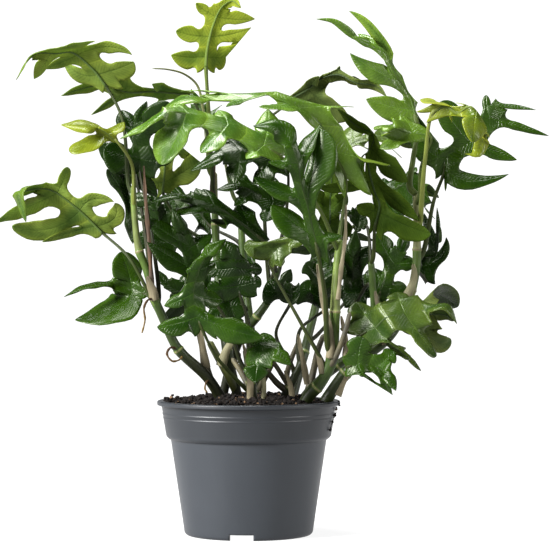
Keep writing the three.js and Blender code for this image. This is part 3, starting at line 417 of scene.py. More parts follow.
class Tone(Enum):
    """A leaf's tone: its upper, lower and stalk colours, the light let through and its gloss.

    The tones are partly the leaves' own age and partly painted light and shade: DEEP is painted shade for
    leaves inside the plant, BRIGHT is painted light for lit leaves on top, and PALE is a painted sheen.
    """

    DEEP = ("#0a1a02", "#132106", "#121807", 0.07, 0.15)
    MID = ("#172c05", "#26390e", "#1e280b", 0.14, 0.18)
    BRIGHT = ("#375119", "#465c1f", "#2d3b14", 0.26, 0.34)
    OLIVE = ("#3a4f1c", "#50622d", "#1b260a", 0.34, 0.15)
    PALE = ("#293915", "#3b4927", "#212a10", 0.14, 0.16)
    LIME = ("#445815", "#5c6c27", "#41511e", 0.38, 0.16)
    YOUNG = ("#4d5b18", "#586325", "#4c5723", 0.28, 0.2)


@dataclass(frozen=True)
class LeafPlan:
    """One leaf, laid out in the front view.

    The stem and the share of its length that the stalk grows from, the stalk's own points, the blade's
    base, its midrib from there to the tip, the direction that the upper face looks, and for each side the
    tips of its lobes from the base on. Depths of the midrib count from the base's and those of a lobe
    from its root. A lobe may add its width, its bluntness and the place that its vein bends towards.
    """

    name: str
    stem: str
    on: float
    stalk: tuple
    base: tuple
    rib: tuple
    face: tuple
    sides: tuple
    web: float = 0.27
    places: tuple | None = None
    crowd: float = 0.37
    end: float = 1.0
    stout: float = 1.0
    end_face: tuple | None = None
    holes: tuple = ((), ())
    tone: Tone = Tone.MID


@dataclass(frozen=True)
class BladeProportions:
    """What all blades share.

    The places, web, holes, rise and widths are those of the solids. The plates are thinner than there,
    and the droop, the waves, the bulge and the finer grids are of this script alone. Lengths are in
    millimetres and the rest are shares.
    """

    even_places: tuple = ((), (0, 0.6), (0, 0.32, 0.64), (0, 0.23, 0.46, 0.7))
    web: float = 0.27
    hole_end: float = 0.6
    hole_fade: float = 0.12
    vein_lift: float = 0.09
    half_of_stretch: float = 0.42
    half_of_length: float = 0.36
    crowd_gain: float = 0.25
    cut_end: float = 0.3
    base_bulge: float = 0.16
    end_arch: float = 0.12
    thickness: float = 0.55
    rim_thickness: float = 0.22
    droop: float = 0.10
    wave: float = 0.55
    wave_length: float = 19.0
    full_wave: float = 6.0  # the half width from which a rim waves in full
    web_rows: int = 6
    free_rows: int = 16
    columns: int = 13


BLADE = BladeProportions()


@dataclass
class Vein:
    """A lobe's vein: a curve from its root on the midrib, bent towards one place, to the lobe's tip."""

    start: Array
    bend: Array
    end: Array
    root: float
    width: float
    blunt: float
    face: Array
    web: float = 0.0

    @property
    def length(self) -> float:
        """The straight distance from root to tip."""
        return float(np.linalg.norm(self.end - self.start))

    def at(self, s: Array | float) -> Array:
        """Gives points of the parabola with start, bend and end as its control points."""
        s = np.atleast_1d(s)[:, None]
        return (1 - s) ** 2 * self.start + 2 * s * (1 - s) * self.bend + s * s * self.end

    def tangent(self, s: Array | float) -> Array:
        """Gives the directions of travel."""
        s = np.atleast_1d(s)[:, None]
        return unit((1 - s) * (self.bend - self.start) + s * (self.end - self.bend))


def lobe_profile(q: Array, blunt: float) -> Array:
    """Gives how far a lobe's edge stands off its vein, over its widest, at shares of the way to the tip."""
    neck = 0.6 + 0.4 * ease(q / 0.38)
    outline = np.maximum(1 - q ** (2.0 + 2.8 * blunt), 0) ** (0.85 - 0.35 * blunt)
    return neck * outline * (0.86 + 0.3 * q * (1 - q))


def round_cut(q: Array) -> Array:
    """Gives a quarter circle from 0 to 1, which rounds the inner end of a cut."""
    x = np.clip(q / BLADE.cut_end, 0, 1)
    return np.sqrt(np.maximum(1 - (1 - x) ** 2, 0))


@dataclass(frozen=True)
class Half:
    """One side of a blade: its veins, each cut's meeting with the midrib and inner end, and its holes."""

    veins: list[Vein]
    cuts: list[tuple[Array, Array]]
    holes: tuple


@dataclass(frozen=True)
class LobeRows:
    """The rows of a lobe's grid.

    The shares r run over the web, from the midrib to the cut's inner end, and q over the free part
    beyond. For each row there are its share s of the vein, its place on it and the direction across.
    """

    r: Array
    q: Array
    s: Array
    centre: Array
    across: Array


class Leaf:
    """One leaf: a split blade of thin plate with a raised midrib below, on its stalk."""

    END_PATTERN = 200
    STALK_RISE = 7
    STALK_OFF = 2.6
    STALK_TOP = 1.15
    STALK_TAPER = 1.1
    KNEE = 0.35
    RIB_END = 0.985
    RIB_TIP = 0.2

    def __init__(self, plan: LeafPlan, stem: "Stem") -> None:
        """Lays out the midrib and the veins.

        Args:
            plan: the leaf's places in the front view.
            stem: the stem that it grows from.
        """
        self.plan = plan
        self.stem = stem
        depth = plan.base[2]
        rib = [plan.base] + [(x, y, depth + offset) for x, y, offset in plan.rib]
        self.rib = SmoothPath(VIEW.at(rib))
        self.count = len(plan.sides[0])
        self.places = np.array(plan.places or BLADE.even_places[self.count], float)
        self.random = np.random.default_rng(sum(ord(c) * 31 ** i for i, c in enumerate(plan.name)))
        self.veins = [[self.vein(tip, i) for i, tip in enumerate(side)] for side in plan.sides]
        for veins in self.veins:
            reach = plan.web * np.mean([vein.length for vein in veins])
            for vein in veins:
                vein.web = min(0.8, reach / vein.length)
        first, second = (self.lean(veins) for veins in self.veins)
        self.hands = (1, -1) if first > second else (-1, 1)

    def face(self, place: Array | float) -> Array:
        """Gives the direction that the upper face looks, turned evenly from base to tip."""
        place = np.atleast_1d(place)[:, None]
        end = np.array(self.plan.end_face or self.plan.face, float)
        return unit((1 - place) * np.array(self.plan.face, float) + place * end)

    def vein(self, tip: tuple, number: int) -> Vein:
        """Lays a lobe's vein from the middle of its stretch of the midrib to its tip."""
        root = 0.5 * (self.places[number] + self.places[number + 1])
        face = self.face(root)[0]
        start = self.rib.at(root)[0]
        px, py, offset, width, blunt, *bend = tip + (1, 0)[len(tip) - 3:] if len(tip) < 5 else tip
        end = VIEW.at((px, py, start[1] + offset))
        length = np.linalg.norm(end - start)
        if bend:
            middle = VIEW.at((bend[0], bend[1], start[1] + bend[2]))
        else:
            middle = 0.5 * (start + end) - 0.1 * length * self.rib.tangent(root)[0]
        return Vein(start, middle + BLADE.vein_lift * length * face, end, root, width, blunt, face)

    def lean(self, veins: list[Vein]) -> float:
        """Gives how far a side's veins lean to the side of the midrib's direction crossed with the face."""
        return sum(float(np.cross(self.rib.tangent(v.root)[0], v.face) @ (v.bend - v.start)) for v in veins)

    def cuts(self, veins: list[Vein]) -> list[tuple[Array, Array]]:
        """Gives where each cut would meet the midrib, and the inner end of the cut."""
        found = []
        for j, place in enumerate(self.places):
            foot = self.rib.at(place)[0]
            beside = [veins[k] for k in (j - 1, j) if 0 <= k < len(veins)]
            reach = (1.5 if len(veins) > 1 else 0.7) if j == 0 else 1.0
            ends = [v.at(v.web)[0] + reach * (foot - v.start) for v in beside]
            found.append((foot, np.mean(ends, axis=0)))
        return found

    def blade(self, skin: Skin) -> None:
        """Adds the blade's plate, gathered from the grids of its lobes and of its two end halves."""
        grids = []
        for veins, hand, holes in zip(self.veins, self.hands, self.plan.holes):
            half = Half(veins, self.cuts(veins), holes)
            grids += [(self.lobe(half, i), hand > 0) for i in range(self.count)]
            grids.append((self.end_half(half.cuts[-1], hand), hand < 0))
        places, triangles, first = [], [], 0
        for grid, turned in grids:
            rows, columns = grid.shape[:2]
            triangles.append(grid_triangles(rows, columns, turned) + first)
            places.append(grid.reshape(-1, grid.shape[2]))
            first += rows * columns
        values = np.concatenate(places)
        values[:, 2] = below_top(values[:, 2])
        nearest = np.linspace(0, 1, 60)
        line = self.rib.at(nearest)
        way = nearest[np.argmin(np.linalg.norm(values[:, None, :3] - line[None], axis=2), axis=1)]
        thickness = BLADE.thickness + (BLADE.rim_thickness - BLADE.thickness) * values[:, 7] ** 6
        add_plate(skin, values[:, :3], np.concatenate(triangles), values[:, 3:5], values[:, 5:7], thickness,
                  (0, 1, 0), self.face(way))

    def lobe(self, half: Half, i: int) -> Array:
        """Works out one lobe as a grid from the midrib to its tip.

        Across each row the places follow a cosine bump, or nearer the tip a parabola, through the near
        edge, the vein and the far edge. The free part droops with the square of the distance from the
        vein and waves along its rim.

        Args:
            half: the side of the blade that the lobe is on.
            i: the lobe's number from the base.

        Returns:
            Rows and columns of places, pattern and shade coordinates and nearness to a rim.
        """
        vein = half.veins[i]
        u = np.linspace(-1, 1, BLADE.columns)
        r = np.linspace(0, 1, BLADE.web_rows)[:-1]
        q = 0.5 * (1 - np.cos(np.pi * np.linspace(0, 1, BLADE.free_rows)))
        s = np.concatenate([vein.web * r, vein.web + (1 - vein.web) * q])
        centre, tangent = vein.at(s), vein.tangent(s)
        across = unit(np.cross(tangent, vein.face))
        across *= np.where(across @ self.rib.tangent(vein.root)[0] < 0, -1, 1)[:, None]
        rows = LobeRows(r, q, s, centre, across)
        (near, near_width), (far, far_width) = (self.lobe_edge(half, i, way, rows) for way in (-1, 1))
        freedom = np.concatenate([np.zeros(len(r)), round_cut(q)])[:, None]
        chord = near[:, None] + (far - near)[:, None] * (0.5 * (u + 1))[None, :, None]
        bump = (1 - freedom) * 0.5 * (1 + np.cos(np.pi * u)) + freedom * (1 - u ** 2)
        grid = chord + bump[..., None] * (centre - 0.5 * (near + far))[:, None]
        on_rib = self.rib.at(self.places[i] + (self.places[i + 1] - self.places[i]) * 0.5 * (u + 1))
        fade = np.concatenate([(1 - r) ** 2, 0 * q])[:, None, None]
        grid = grid + fade * (on_rib - grid[0])[None]
        side_width = np.where(u[None] < 0, near_width[:, None], far_width[:, None])
        wave = self.waves(s * vein.length, u)
        wave_share = np.minimum(1, side_width / BLADE.full_wave)
        lift = freedom * (-BLADE.droop * side_width * u ** 2 + wave * u ** 2 * wave_share)
        grid = grid + lift[..., None] * vein.face
        rim = np.maximum(freedom * np.abs(u), (u < 0) * (i == 0) * np.abs(u))
        return with_coordinates(grid, u * side_width, (s * vein.length)[:, None], np.abs(u),
                                np.minimum(1, s)[:, None], rim)

    def lobe_edge(self, half: Half, i: int, way: int, rows: LobeRows) -> tuple[Array, Array]:
        """Works out one edge of a lobe.

        Up to the cut's inner end it runs straight from the midrib, bulging at the blade's base. From
        there it moves on a quarter circle from the cut's line to the lobe's own outline, which stands
        off the vein by the lobe's profile. Past a hole it runs midway between the two veins.

        Args:
            half: the side of the blade that the lobe is on.
            i: the lobe's number from the base.
            way: -1 for the edge nearer the base, 1 for the other.
            rows: the rows of the lobe's grid.

        Returns:
            The edge's places and how far each is from the vein.
        """
        vein, cut, other = half.veins[i], max(i, i + way), i + way
        foot, bottom = half.cuts[cut]
        beside = half.veins[other] if 0 <= other < len(half.veins) else None
        inside = len(rows.r)
        free = rows.centre[inside:]
        stretch = float(np.linalg.norm(half.cuts[i][0] - half.cuts[i + 1][0]))
        widest = vein.width * min(BLADE.half_of_stretch * stretch, BLADE.half_of_length * vein.length)
        room = np.full(len(rows.q), widest)
        if beside is not None:
            share = self.plan.crowd + BLADE.crowd_gain * max(0.0, vein.web - BLADE.web)
            apart = np.linalg.norm(free - beside.at(rows.s[inside:]), axis=1)
            room = np.minimum(widest, share * apart)
        width = room * lobe_profile(rows.q, vein.blunt)
        own = free + way * rows.across[inside:] * width[:, None]
        weight = round_cut(rows.q)[:, None]
        edge = (bottom + free - vein.at(vein.web)[0]) * (1 - weight) + own * weight
        if beside is not None and cut in half.holes:
            seam = 0.5 * (free + beside.at(beside.web + (1 - beside.web) * rows.q))
            joined = ease((rows.q - BLADE.hole_end + BLADE.hole_fade) / BLADE.hole_fade)[:, None]
            edge = edge * (1 - joined) + seam * joined
        inner = foot + (bottom - foot) * rows.r[:, None]
        if cut == 0:
            bulge = BLADE.base_bulge * np.linalg.norm(bottom - foot) * 4 * rows.r * (1 - rows.r)
            inner = inner - bulge[:, None] * unit(self.rib.tangent(0.02)[0] - 0.4 * unit(bottom - foot))
        inner_width = np.linalg.norm(inner - rows.centre[:inside], axis=1)
        return np.concatenate([inner, edge]), np.concatenate([inner_width, width])

    def waves(self, along: Array, u: Array) -> Array:
        """Gives the rim's waves: a sine of the way along, with its own start on each side of the vein."""
        starts = self.random.uniform(0, 2 * np.pi, 2)
        phase = np.where(u < 0, starts[0], starts[1])[None]
        return BLADE.wave * np.sin(2 * np.pi * along[:, None] / BLADE.wave_length + phase)

    def end_half(self, bound: tuple[Array, Array], hand: int) -> Array:
        """Works out half of the end lobe as a grid from the last cut to the leaf's tip.

        Each row runs straight from the midrib to the edge. The edge moves on a quarter circle from the
        cut's line to an outline that stands off the midrib by the lobe's profile.

        Returns:
            Rows and columns of places, pattern and shade coordinates and nearness to a rim.
        """
        foot, bottom = bound
        last = float(self.places[self.count])
        length = self.rib.length * (1 - last)
        slender = self.plan.end * (0.24 * length + 1.5)
        webbed = self.plan.web > BLADE.web
        wide = max(slender, 0.8 * float(np.linalg.norm(foot - bottom))) if webbed else slender
        c = np.linspace(0, 1, BLADE.web_rows)
        q = 0.5 * (1 - np.cos(np.pi * np.linspace(0, 1, BLADE.free_rows + 4)))
        place = last + (1 - last) * q
        centre = self.rib.at(place)
        across = unit(np.cross(self.rib.tangent(place), self.face(place)))
        width = wide * lobe_profile(q, 0.0)
        own = centre + hand * across * width[:, None]
        weight = round_cut(q)[:, None]
        edge = (bottom + centre - foot) * (1 - weight) + own * weight
        grid = centre[:, None] + (edge - centre)[:, None] * c[None, :, None]
        reach = np.linalg.norm(edge - centre, axis=1)[:, None]
        arch = weight * reach * BLADE.end_arch * (np.sin(np.pi * c) - 0.7 * c ** 2)
        wave_share = np.minimum(1, reach / BLADE.full_wave)
        wave = self.waves(place * self.rib.length, c) * weight * c ** 2 * wave_share
        grid = grid + (arch + wave)[..., None] * self.face(place)[:, None]
        return with_coordinates(grid, self.END_PATTERN + c * reach, (q * length)[:, None],
                                0.35 + 0.65 * c, q[:, None], weight * c)

    def stalk_path(self) -> SmoothPath:
        """Gives the stalk's middle line: out of the stem, through its points, under the blade's base."""
        start, rise = self.stem.path.at(self.plan.on)[0], self.stem.path.tangent(self.plan.on)[0]
        own = [VIEW.at(place) for place in self.plan.stalk]
        base = self.rib.at(0)[0]
        towards = (own[0] if own else base) - start
        towards = unit(towards - rise * float(towards @ rise))
        away = self.stem.radius_at(self.plan.on) + self.STALK_OFF
        out = start + self.STALK_RISE * rise + away * towards
        under = 0.5 * self.face(0)[0]
        return SmoothPath(np.array([start, out, *own, base - under, self.rib.at(0.08)[0] - under]))

    def stalk(self, skin: Skin) -> None:
        """Adds the stalk, which tapers from the stem to the blade and thickens just under it."""
        path = self.stalk_path()
        shares = np.linspace(0, 1, 14 + int(path.length / 5))
        knee = self.KNEE * np.exp(-((1 - shares) * path.length / 7 - 1.2) ** 2)
        radius = self.plan.stout * (self.STALK_TOP + self.STALK_TAPER * (1 - shares) ** 1.3 + knee)
        radius *= np.where(shares > 0.97, 0.7, 1)
        skin.add_tube(path, shares, radius, 12, 2)

    def midrib(self, skin: Skin) -> None:
        """Adds the raised midrib under the blade, which tapers from the stalk to the tip."""
        shares = np.linspace(0, self.RIB_END, 50)
        radius = self.plan.stout * ((1 - shares) ** 0.8 + self.RIB_TIP)
        line = self.rib.at(shares) - self.face(shares) * (0.95 * radius)[:, None]
        skin.add_tube(SmoothPath(line), np.linspace(0, 1, 50), radius, 8, 3)

    def build(self, finish: "LeafFinish") -> bpy.types.Object:
        """Makes the leaf's piece, dresses it and lets it stand for its node."""
        skin = Skin()
        self.blade(skin)
        self.stalk(skin)
        self.midrib(skin)
        piece = skin.build("leaf_" + self.plan.name + "_living", finish.materials())
        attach(piece, "root")
        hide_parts("leaf_" + self.plan.name)
        return piece


def below_top(height: Array) -> Array:
    """Keeps heights under the top of the solids' box.

    Up to 4 mm below the limit they stay as they are. From there the rest nears 4 mm as one less a falling
    exponential of it.
    """
    spare, room = 0.8, 4
    start = CAD_BOX[1][2] / METRE - (spare + room)
    above = np.maximum(height - start, 0)
    return np.where(height < start, height, start + room * (1 - np.exp(-above / room)))


def with_coordinates(grid: Array, *values: Array | float) -> Array:
    """Joins a grid of places and further values, each spread over the grid's rows and columns."""
    return np.concatenate([grid, *(np.broadcast_to(v, grid.shape[:2])[..., None] for v in values)], axis=2)


# Stems

@dataclass(frozen=True)
class StemPlan:
    """One stem: its path in the front view, its radius at foot and top, its rings and its marks.

    Rings are shares of the way. Marks are pairs of a share and the shade there, as the tables explain.
    """

    letter: str
    path: tuple
    foot: float
    top: float
    rings: tuple
    shades: tuple = ((0, 0.12), (0.3, 0.3), (0.6, 0.42), (1, 0.5))


@dataclass(frozen=True)
class GrowthPlan:
    """An aerial root or a stalk on a stem: its path in the front view and its radius at foot and top."""

    stem: str
    path: tuple
    foot: float = 1.25
    top: float = 0.7


class Paper(Enum):
    """The dry paper of a sheath: its light and its dark colour."""

    TAN = ("#736a51", "#403a24")
    CREAM = ("#807d5e", "#514d32")
    BROWN = ("#472d0a", "#231505")


@dataclass(frozen=True)
class StripPlan:
    """A dry sheath: a strip of paper round part of a path, the half angle that it covers and its paper."""

    path: tuple
    radius: float
    half_angle: float = 1.2
    paper: Paper = Paper.TAN


class Stem:
    """A jointed stem with ring scars, its aerial roots and its cut stalks."""

    SIDES = 20
    RING_WIDTH = 1.2
    RING_HEIGHT = 0.5
    SWELL_WIDTH = 6.0
    SWELL_HEIGHT = 0.45
    SWELL_BELOW = 1.5
    FINE_REACH = 4
    WAVE = 0.03
    WAVE_LENGTH = 9
    CUT_END = 0.55

    def __init__(self, plan: StemPlan) -> None:
        """Lays the stem's path."""
        self.plan = plan
        self.path = SmoothPath(VIEW.at(plan.path))

    def radius_at(self, share: float) -> float:
        """Gives the stem's radius as the solids have it, without the rings."""
        return self.plan.foot + (self.plan.top - self.plan.foot) * share

    def build(self, bark: bpy.types.Material, root: bpy.types.Material,
              stalk: bpy.types.Material) -> bpy.types.Object:
        """Makes the stem's piece: a taper with a sharp scar and a soft swelling at each ring.

        The radius is the taper, plus for each ring one narrow and one wide bell curve of the distance
        from it, plus a slow wave along the stem.
        """
        skin = Skin()
        rings = np.array(self.plan.rings)
        close_by = np.linspace(-self.FINE_REACH, self.FINE_REACH, 17) / self.path.length
        shares = np.unique(np.concatenate([np.linspace(0, 1, 110), (rings[:, None] + close_by).ravel()]))
        away = (shares[:, None] - rings[None]) * self.path.length
        scar = np.exp(-(away / self.RING_WIDTH) ** 2).sum(1)
        swell = np.exp(-((away + self.SWELL_BELOW) / self.SWELL_WIDTH) ** 2).sum(1)
        radius = self.plan.foot + (self.plan.top - self.plan.foot) * shares
        radius = radius * (1 + self.WAVE * np.sin(shares * self.path.length / self.WAVE_LENGTH))
        radius = radius + self.RING_HEIGHT * scar + self.SWELL_HEIGHT * swell
        radius[-1] *= self.CUT_END
        places, values = zip(*self.plan.shades)
        mark = np.interp(shares, places, values) * (1 - scar.clip(0, 1)) + scar.clip(0, 1)
        skin.add_tube(self.path, shares, radius, self.SIDES, 0, mark=mark)
        for growth in (g for g in ROOTS if g.stem == self.plan.letter):
            path = SmoothPath(VIEW.at(growth.path))
            way = np.linspace(0, 1, 40)
            knobs = 1 + 0.14 * np.sin(way * path.length / 1.9) + 0.1 * np.sin(way * path.length / 0.83)
            radius = (growth.foot + (growth.top - growth.foot) * way) * knobs
            skin.add_tube(path, way, radius, 10, 1, mark=way)
        for growth in (g for g in CUT_STALKS if g.stem == self.plan.letter):
            path = SmoothPath(VIEW.at(growth.path))
            way = np.linspace(0, 1, 50)
            close = np.sqrt(np.clip((1 - way) * path.length / 2.5, 0.05, 1))
            radius = (growth.foot + (growth.top - growth.foot) * way) * close
            skin.add_tube(path, way, radius, 14, 2, mark=way)
        piece = skin.build(f"stem_{self.plan.letter}_living", [bark, root, stalk])
        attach(piece, "root")
        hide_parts("stem_" + self.plan.letter)
        return piece


class Sheath:
    """A dry sheath of paper that clasps a stem or a stalk."""

    THICKNESS = 0.3
    FACING = (0.0, -1.0, 0.1)
    FLARE = 0.8
    RIPPLE = 0.35
    RIPPLE_LENGTH = 4.3
    ROWS = 60
    COLUMNS = 11

    def __init__(self, plan: StripPlan) -> None:
        """Lays the sheath's path."""
        self.plan = plan
        self.path = SmoothPath(VIEW.at(plan.path))

    def build(self, name: str, paper: bpy.types.Material) -> bpy.types.Object:
        """Makes the sheath.

        At each share of the path it is an arc round the path, whose half angle narrows to a point at
        the top with the square root of what is left, and whose rims flare out and wave.
        """
        random = np.random.default_rng(len(name) + int(self.path.length))
        way = np.linspace(0, 1, self.ROWS)
        u = np.linspace(-1, 1, self.COLUMNS)
        centre, tangent = self.path.at(way), self.path.tangent(way)
        facing = unit(np.array(self.FACING))
        across = unit(np.cross(tangent, facing))
        front = np.cross(across, tangent)
        angle = self.plan.half_angle * np.sqrt(np.clip(1.02 - way, 0, 1))[:, None] * u[None]
        wave = np.sin(way * self.path.length / self.RIPPLE_LENGTH + random.uniform(0, 6))
        ripple = wave[:, None] * u[None] ** 2
        flare = self.FLARE * (u[None] ** 4) * (0.5 + 0.5 * way[:, None])
        radius = self.plan.radius + flare + self.RIPPLE * ripple
        grid = (centre[:, None] + (radius * np.cos(angle))[..., None] * front[:, None]
                + (radius * np.sin(angle))[..., None] * across[:, None])
        values = with_coordinates(grid, u * self.plan.radius, (way * self.path.length)[:, None],
                                  way[:, None], 0.0).reshape(-1, 7)
        skin = Skin()
        add_plate(skin, values[:, :3], grid_triangles(self.ROWS, self.COLUMNS), values[:, 3:5],
                  values[:, 5:7], np.full(len(values), self.THICKNESS), (0, 0, 0))
        piece = skin.build(name, [paper])
        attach(piece, "root")
        return piece


# Pot and compost

def rounded(profile: Sequence[tuple[float, float, float]], steps: int = 6) -> Array:
    """Rounds the corners of a closed outline.

    Each corner is a parabola between two points on its edges, as far from it as its own radius, with
    the corner as the middle control point.

    Args:
        profile: the corners as radius from the axis, height and rounding.
        steps: the points on each corner.

    Returns:
        The rounded outline.
    """
    corners = np.array([(r, z) for r, z, _ in profile], float)
    size = np.array([fillet for _, _, fillet in profile], float)[:, None]
    before, after = np.roll(corners, 1, 0) - corners, np.roll(corners, -1, 0) - corners
    start = corners + before * np.minimum(size / np.linalg.norm(before, axis=1, keepdims=True), 0.45)
    end = corners + after * np.minimum(size / np.linalg.norm(after, axis=1, keepdims=True), 0.45)
    t = np.linspace(0, 1, steps)[None, :, None]
    curve = (1 - t) ** 2 * start[:, None] + 2 * t * (1 - t) * corners[:, None] + t * t * end[:, None]
    return curve.reshape(-1, 2)


@dataclass(frozen=True)
class NurseryPot:
    """The injection-moulded pot, in millimetres."""

    radius: float = 85.0
    height: float = 124.0
    lip_height: float = 4.5
    lip_width: float = 4.0
    band_bottom: float = 90.0
    band_radius: float = 76.4
    body_radius: float = 72.3
    foot_radius: float = 59.6
    foot_height: float = 6.0
    wall: float = 1.8
    floor: float = 2.4
    pad_radius: float = 9.0
    notch_width: float = 23.0
    notch_turns: tuple = (-96, 24, 144)
    drain_radius: float = 5.0
    drain_from_axis: float = 38.0
    drain_turns: tuple = (-36, 84, 204)
    mould_lines: tuple = (108.6, 112.4)
    mould_line_height: float = 0.28
    foot_width: float = 4.5
    turn_scale: float = 72.0

    def wall_line(self, *heights: float) -> list[tuple[float, float, float]]:
        """Gives sharp corners on the straight wall, so that a notch bends it only up to them."""
        slope = (self.body_radius - self.foot_radius) / (self.band_bottom - 4)
        return [(self.foot_radius + slope * (z - 2), z, 0.0) for z in heights]

    def outline(self) -> Array:
        """Gives the rounded section of wall, floor, foot and middle pad, from the foot's outside up."""
        lip, wall = self.height - self.lip_height, self.wall
        inside = self.radius - self.lip_width
        slope = (inside - self.band_radius) / (lip - self.band_bottom - 1)
        floor_top, foot_inside = self.foot_height + self.floor, self.foot_radius - self.foot_width
        lines = []
        for z in self.mould_lines:
            base = self.band_radius + slope * (z - self.band_bottom - 1)
            raised = base + self.mould_line_height
            lines += [(base, z - 0.9, 0.3), (raised, z - 0.3, 0.3),
                      (raised, z + 0.3, 0.3), (base, z + 0.9, 0.3)]
        return rounded([
            (self.foot_radius - 2, 0, 0.8), (self.foot_radius, 2, 1.2), *self.wall_line(6.4, 7.4),
            (self.body_radius, self.band_bottom - 2, 1.2),
            (self.band_radius - 2.5, self.band_bottom - 1.2, 0.6),
            (self.band_radius, self.band_bottom + 1, 1.4), *lines,
            (inside, lip, 0.8), (self.radius, lip + 0.6, 1.0), (self.radius, self.height - 0.8, 0.5),
            (self.radius - 1, self.height, 0.5), (inside - wall, self.height, 0.8),
            (self.band_radius - wall, self.band_bottom + 2, 0.8),
            (self.body_radius - wall, self.band_bottom - 1, 0.8),
            (self.foot_radius - wall, floor_top, 1.5), (0.01, floor_top, 0),
            (0.01, 0, 0), (self.pad_radius, 0, 0.5), (self.pad_radius, self.foot_height, 0.8),
            (foot_inside, self.foot_height, 0.8), (foot_inside, 0, 0.6)])

    def build(self, plastic: bpy.types.Material) -> bpy.types.Object:
        """Makes the pot: the section turned about the axis, with the foot raised in the notches.

        In a notch each point lower than the notch's roof is lifted to it. The drain holes are cut
        through the floor.
        """
        outline = self.outline()
        outline = np.vstack([outline, outline[:1]])
        half = np.degrees(self.notch_width / 2 / self.foot_radius)
        sides = [turn + way * half for turn in self.notch_turns for way in (-1, 1)]
        jumps = np.concatenate([[side - 0.02, side + 0.02] for side in sides])
        turns = np.radians(np.unique(np.concatenate([np.linspace(0, 360, 217)[:-1], jumps % 360])))
        turns = np.append(turns, turns[0] + 2 * np.pi)
        away = np.abs((np.degrees(turns)[:, None] - np.array(self.notch_turns)[None] + 180) % 360 - 180)
        notched = (away < half).any(1)
        radius, height = outline[:, 0][:, None], outline[:, 1][:, None]
        raised = notched[None] & (radius > self.pad_radius + 1)
        lifted = np.where(raised, np.maximum(height, self.foot_height - 0.5), height)
        grid = np.stack([radius * np.cos(turns), radius * np.sin(turns), lifted], axis=-1)
        shade = np.stack(np.broadcast_arrays(height / self.height, 0 * turns[None]), axis=-1)
        pattern = np.stack(np.broadcast_arrays(turns[None] * self.turn_scale, height), axis=-1)
        skin = Skin()
        skin.add_grid(grid, pattern, shade, 0, turned=True)
        piece = skin.build("pot_moulded", [plastic])
        self.drill(piece)
        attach(piece, "root")
        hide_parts("pot")
        return piece

    def drill(self, piece: bpy.types.Object) -> None:
        """Cuts the drain holes with upright round bars."""
        skin = Skin()
        for turn in np.radians(self.drain_turns):
            x, y = self.drain_from_axis * np.cos(turn), self.drain_from_axis * np.sin(turn)
            bar = SmoothPath(np.array([[x, y, 2.0], [x, y, 7.0], [x, y, 12.0]]))
            skin.add_tube(bar, np.linspace(0, 1, 3), np.full(3, self.drain_radius), 32, 0)
        cutter = skin.build("drain_cutter", [])
        cut = piece.modifiers.new("drain holes", "BOOLEAN")
        cut.operation, cut.object, cut.solver = "DIFFERENCE", cutter, "EXACT"
        bpy.context.view_layer.update()
        evaluated = piece.evaluated_get(bpy.context.evaluated_depsgraph_get())
        mesh = bpy.data.meshes.new_from_object(evaluated)
        piece.modifiers.clear()
        old = piece.data
        piece.data = mesh
        bpy.data.meshes.remove(old)
        bpy.data.objects.remove(cutter)


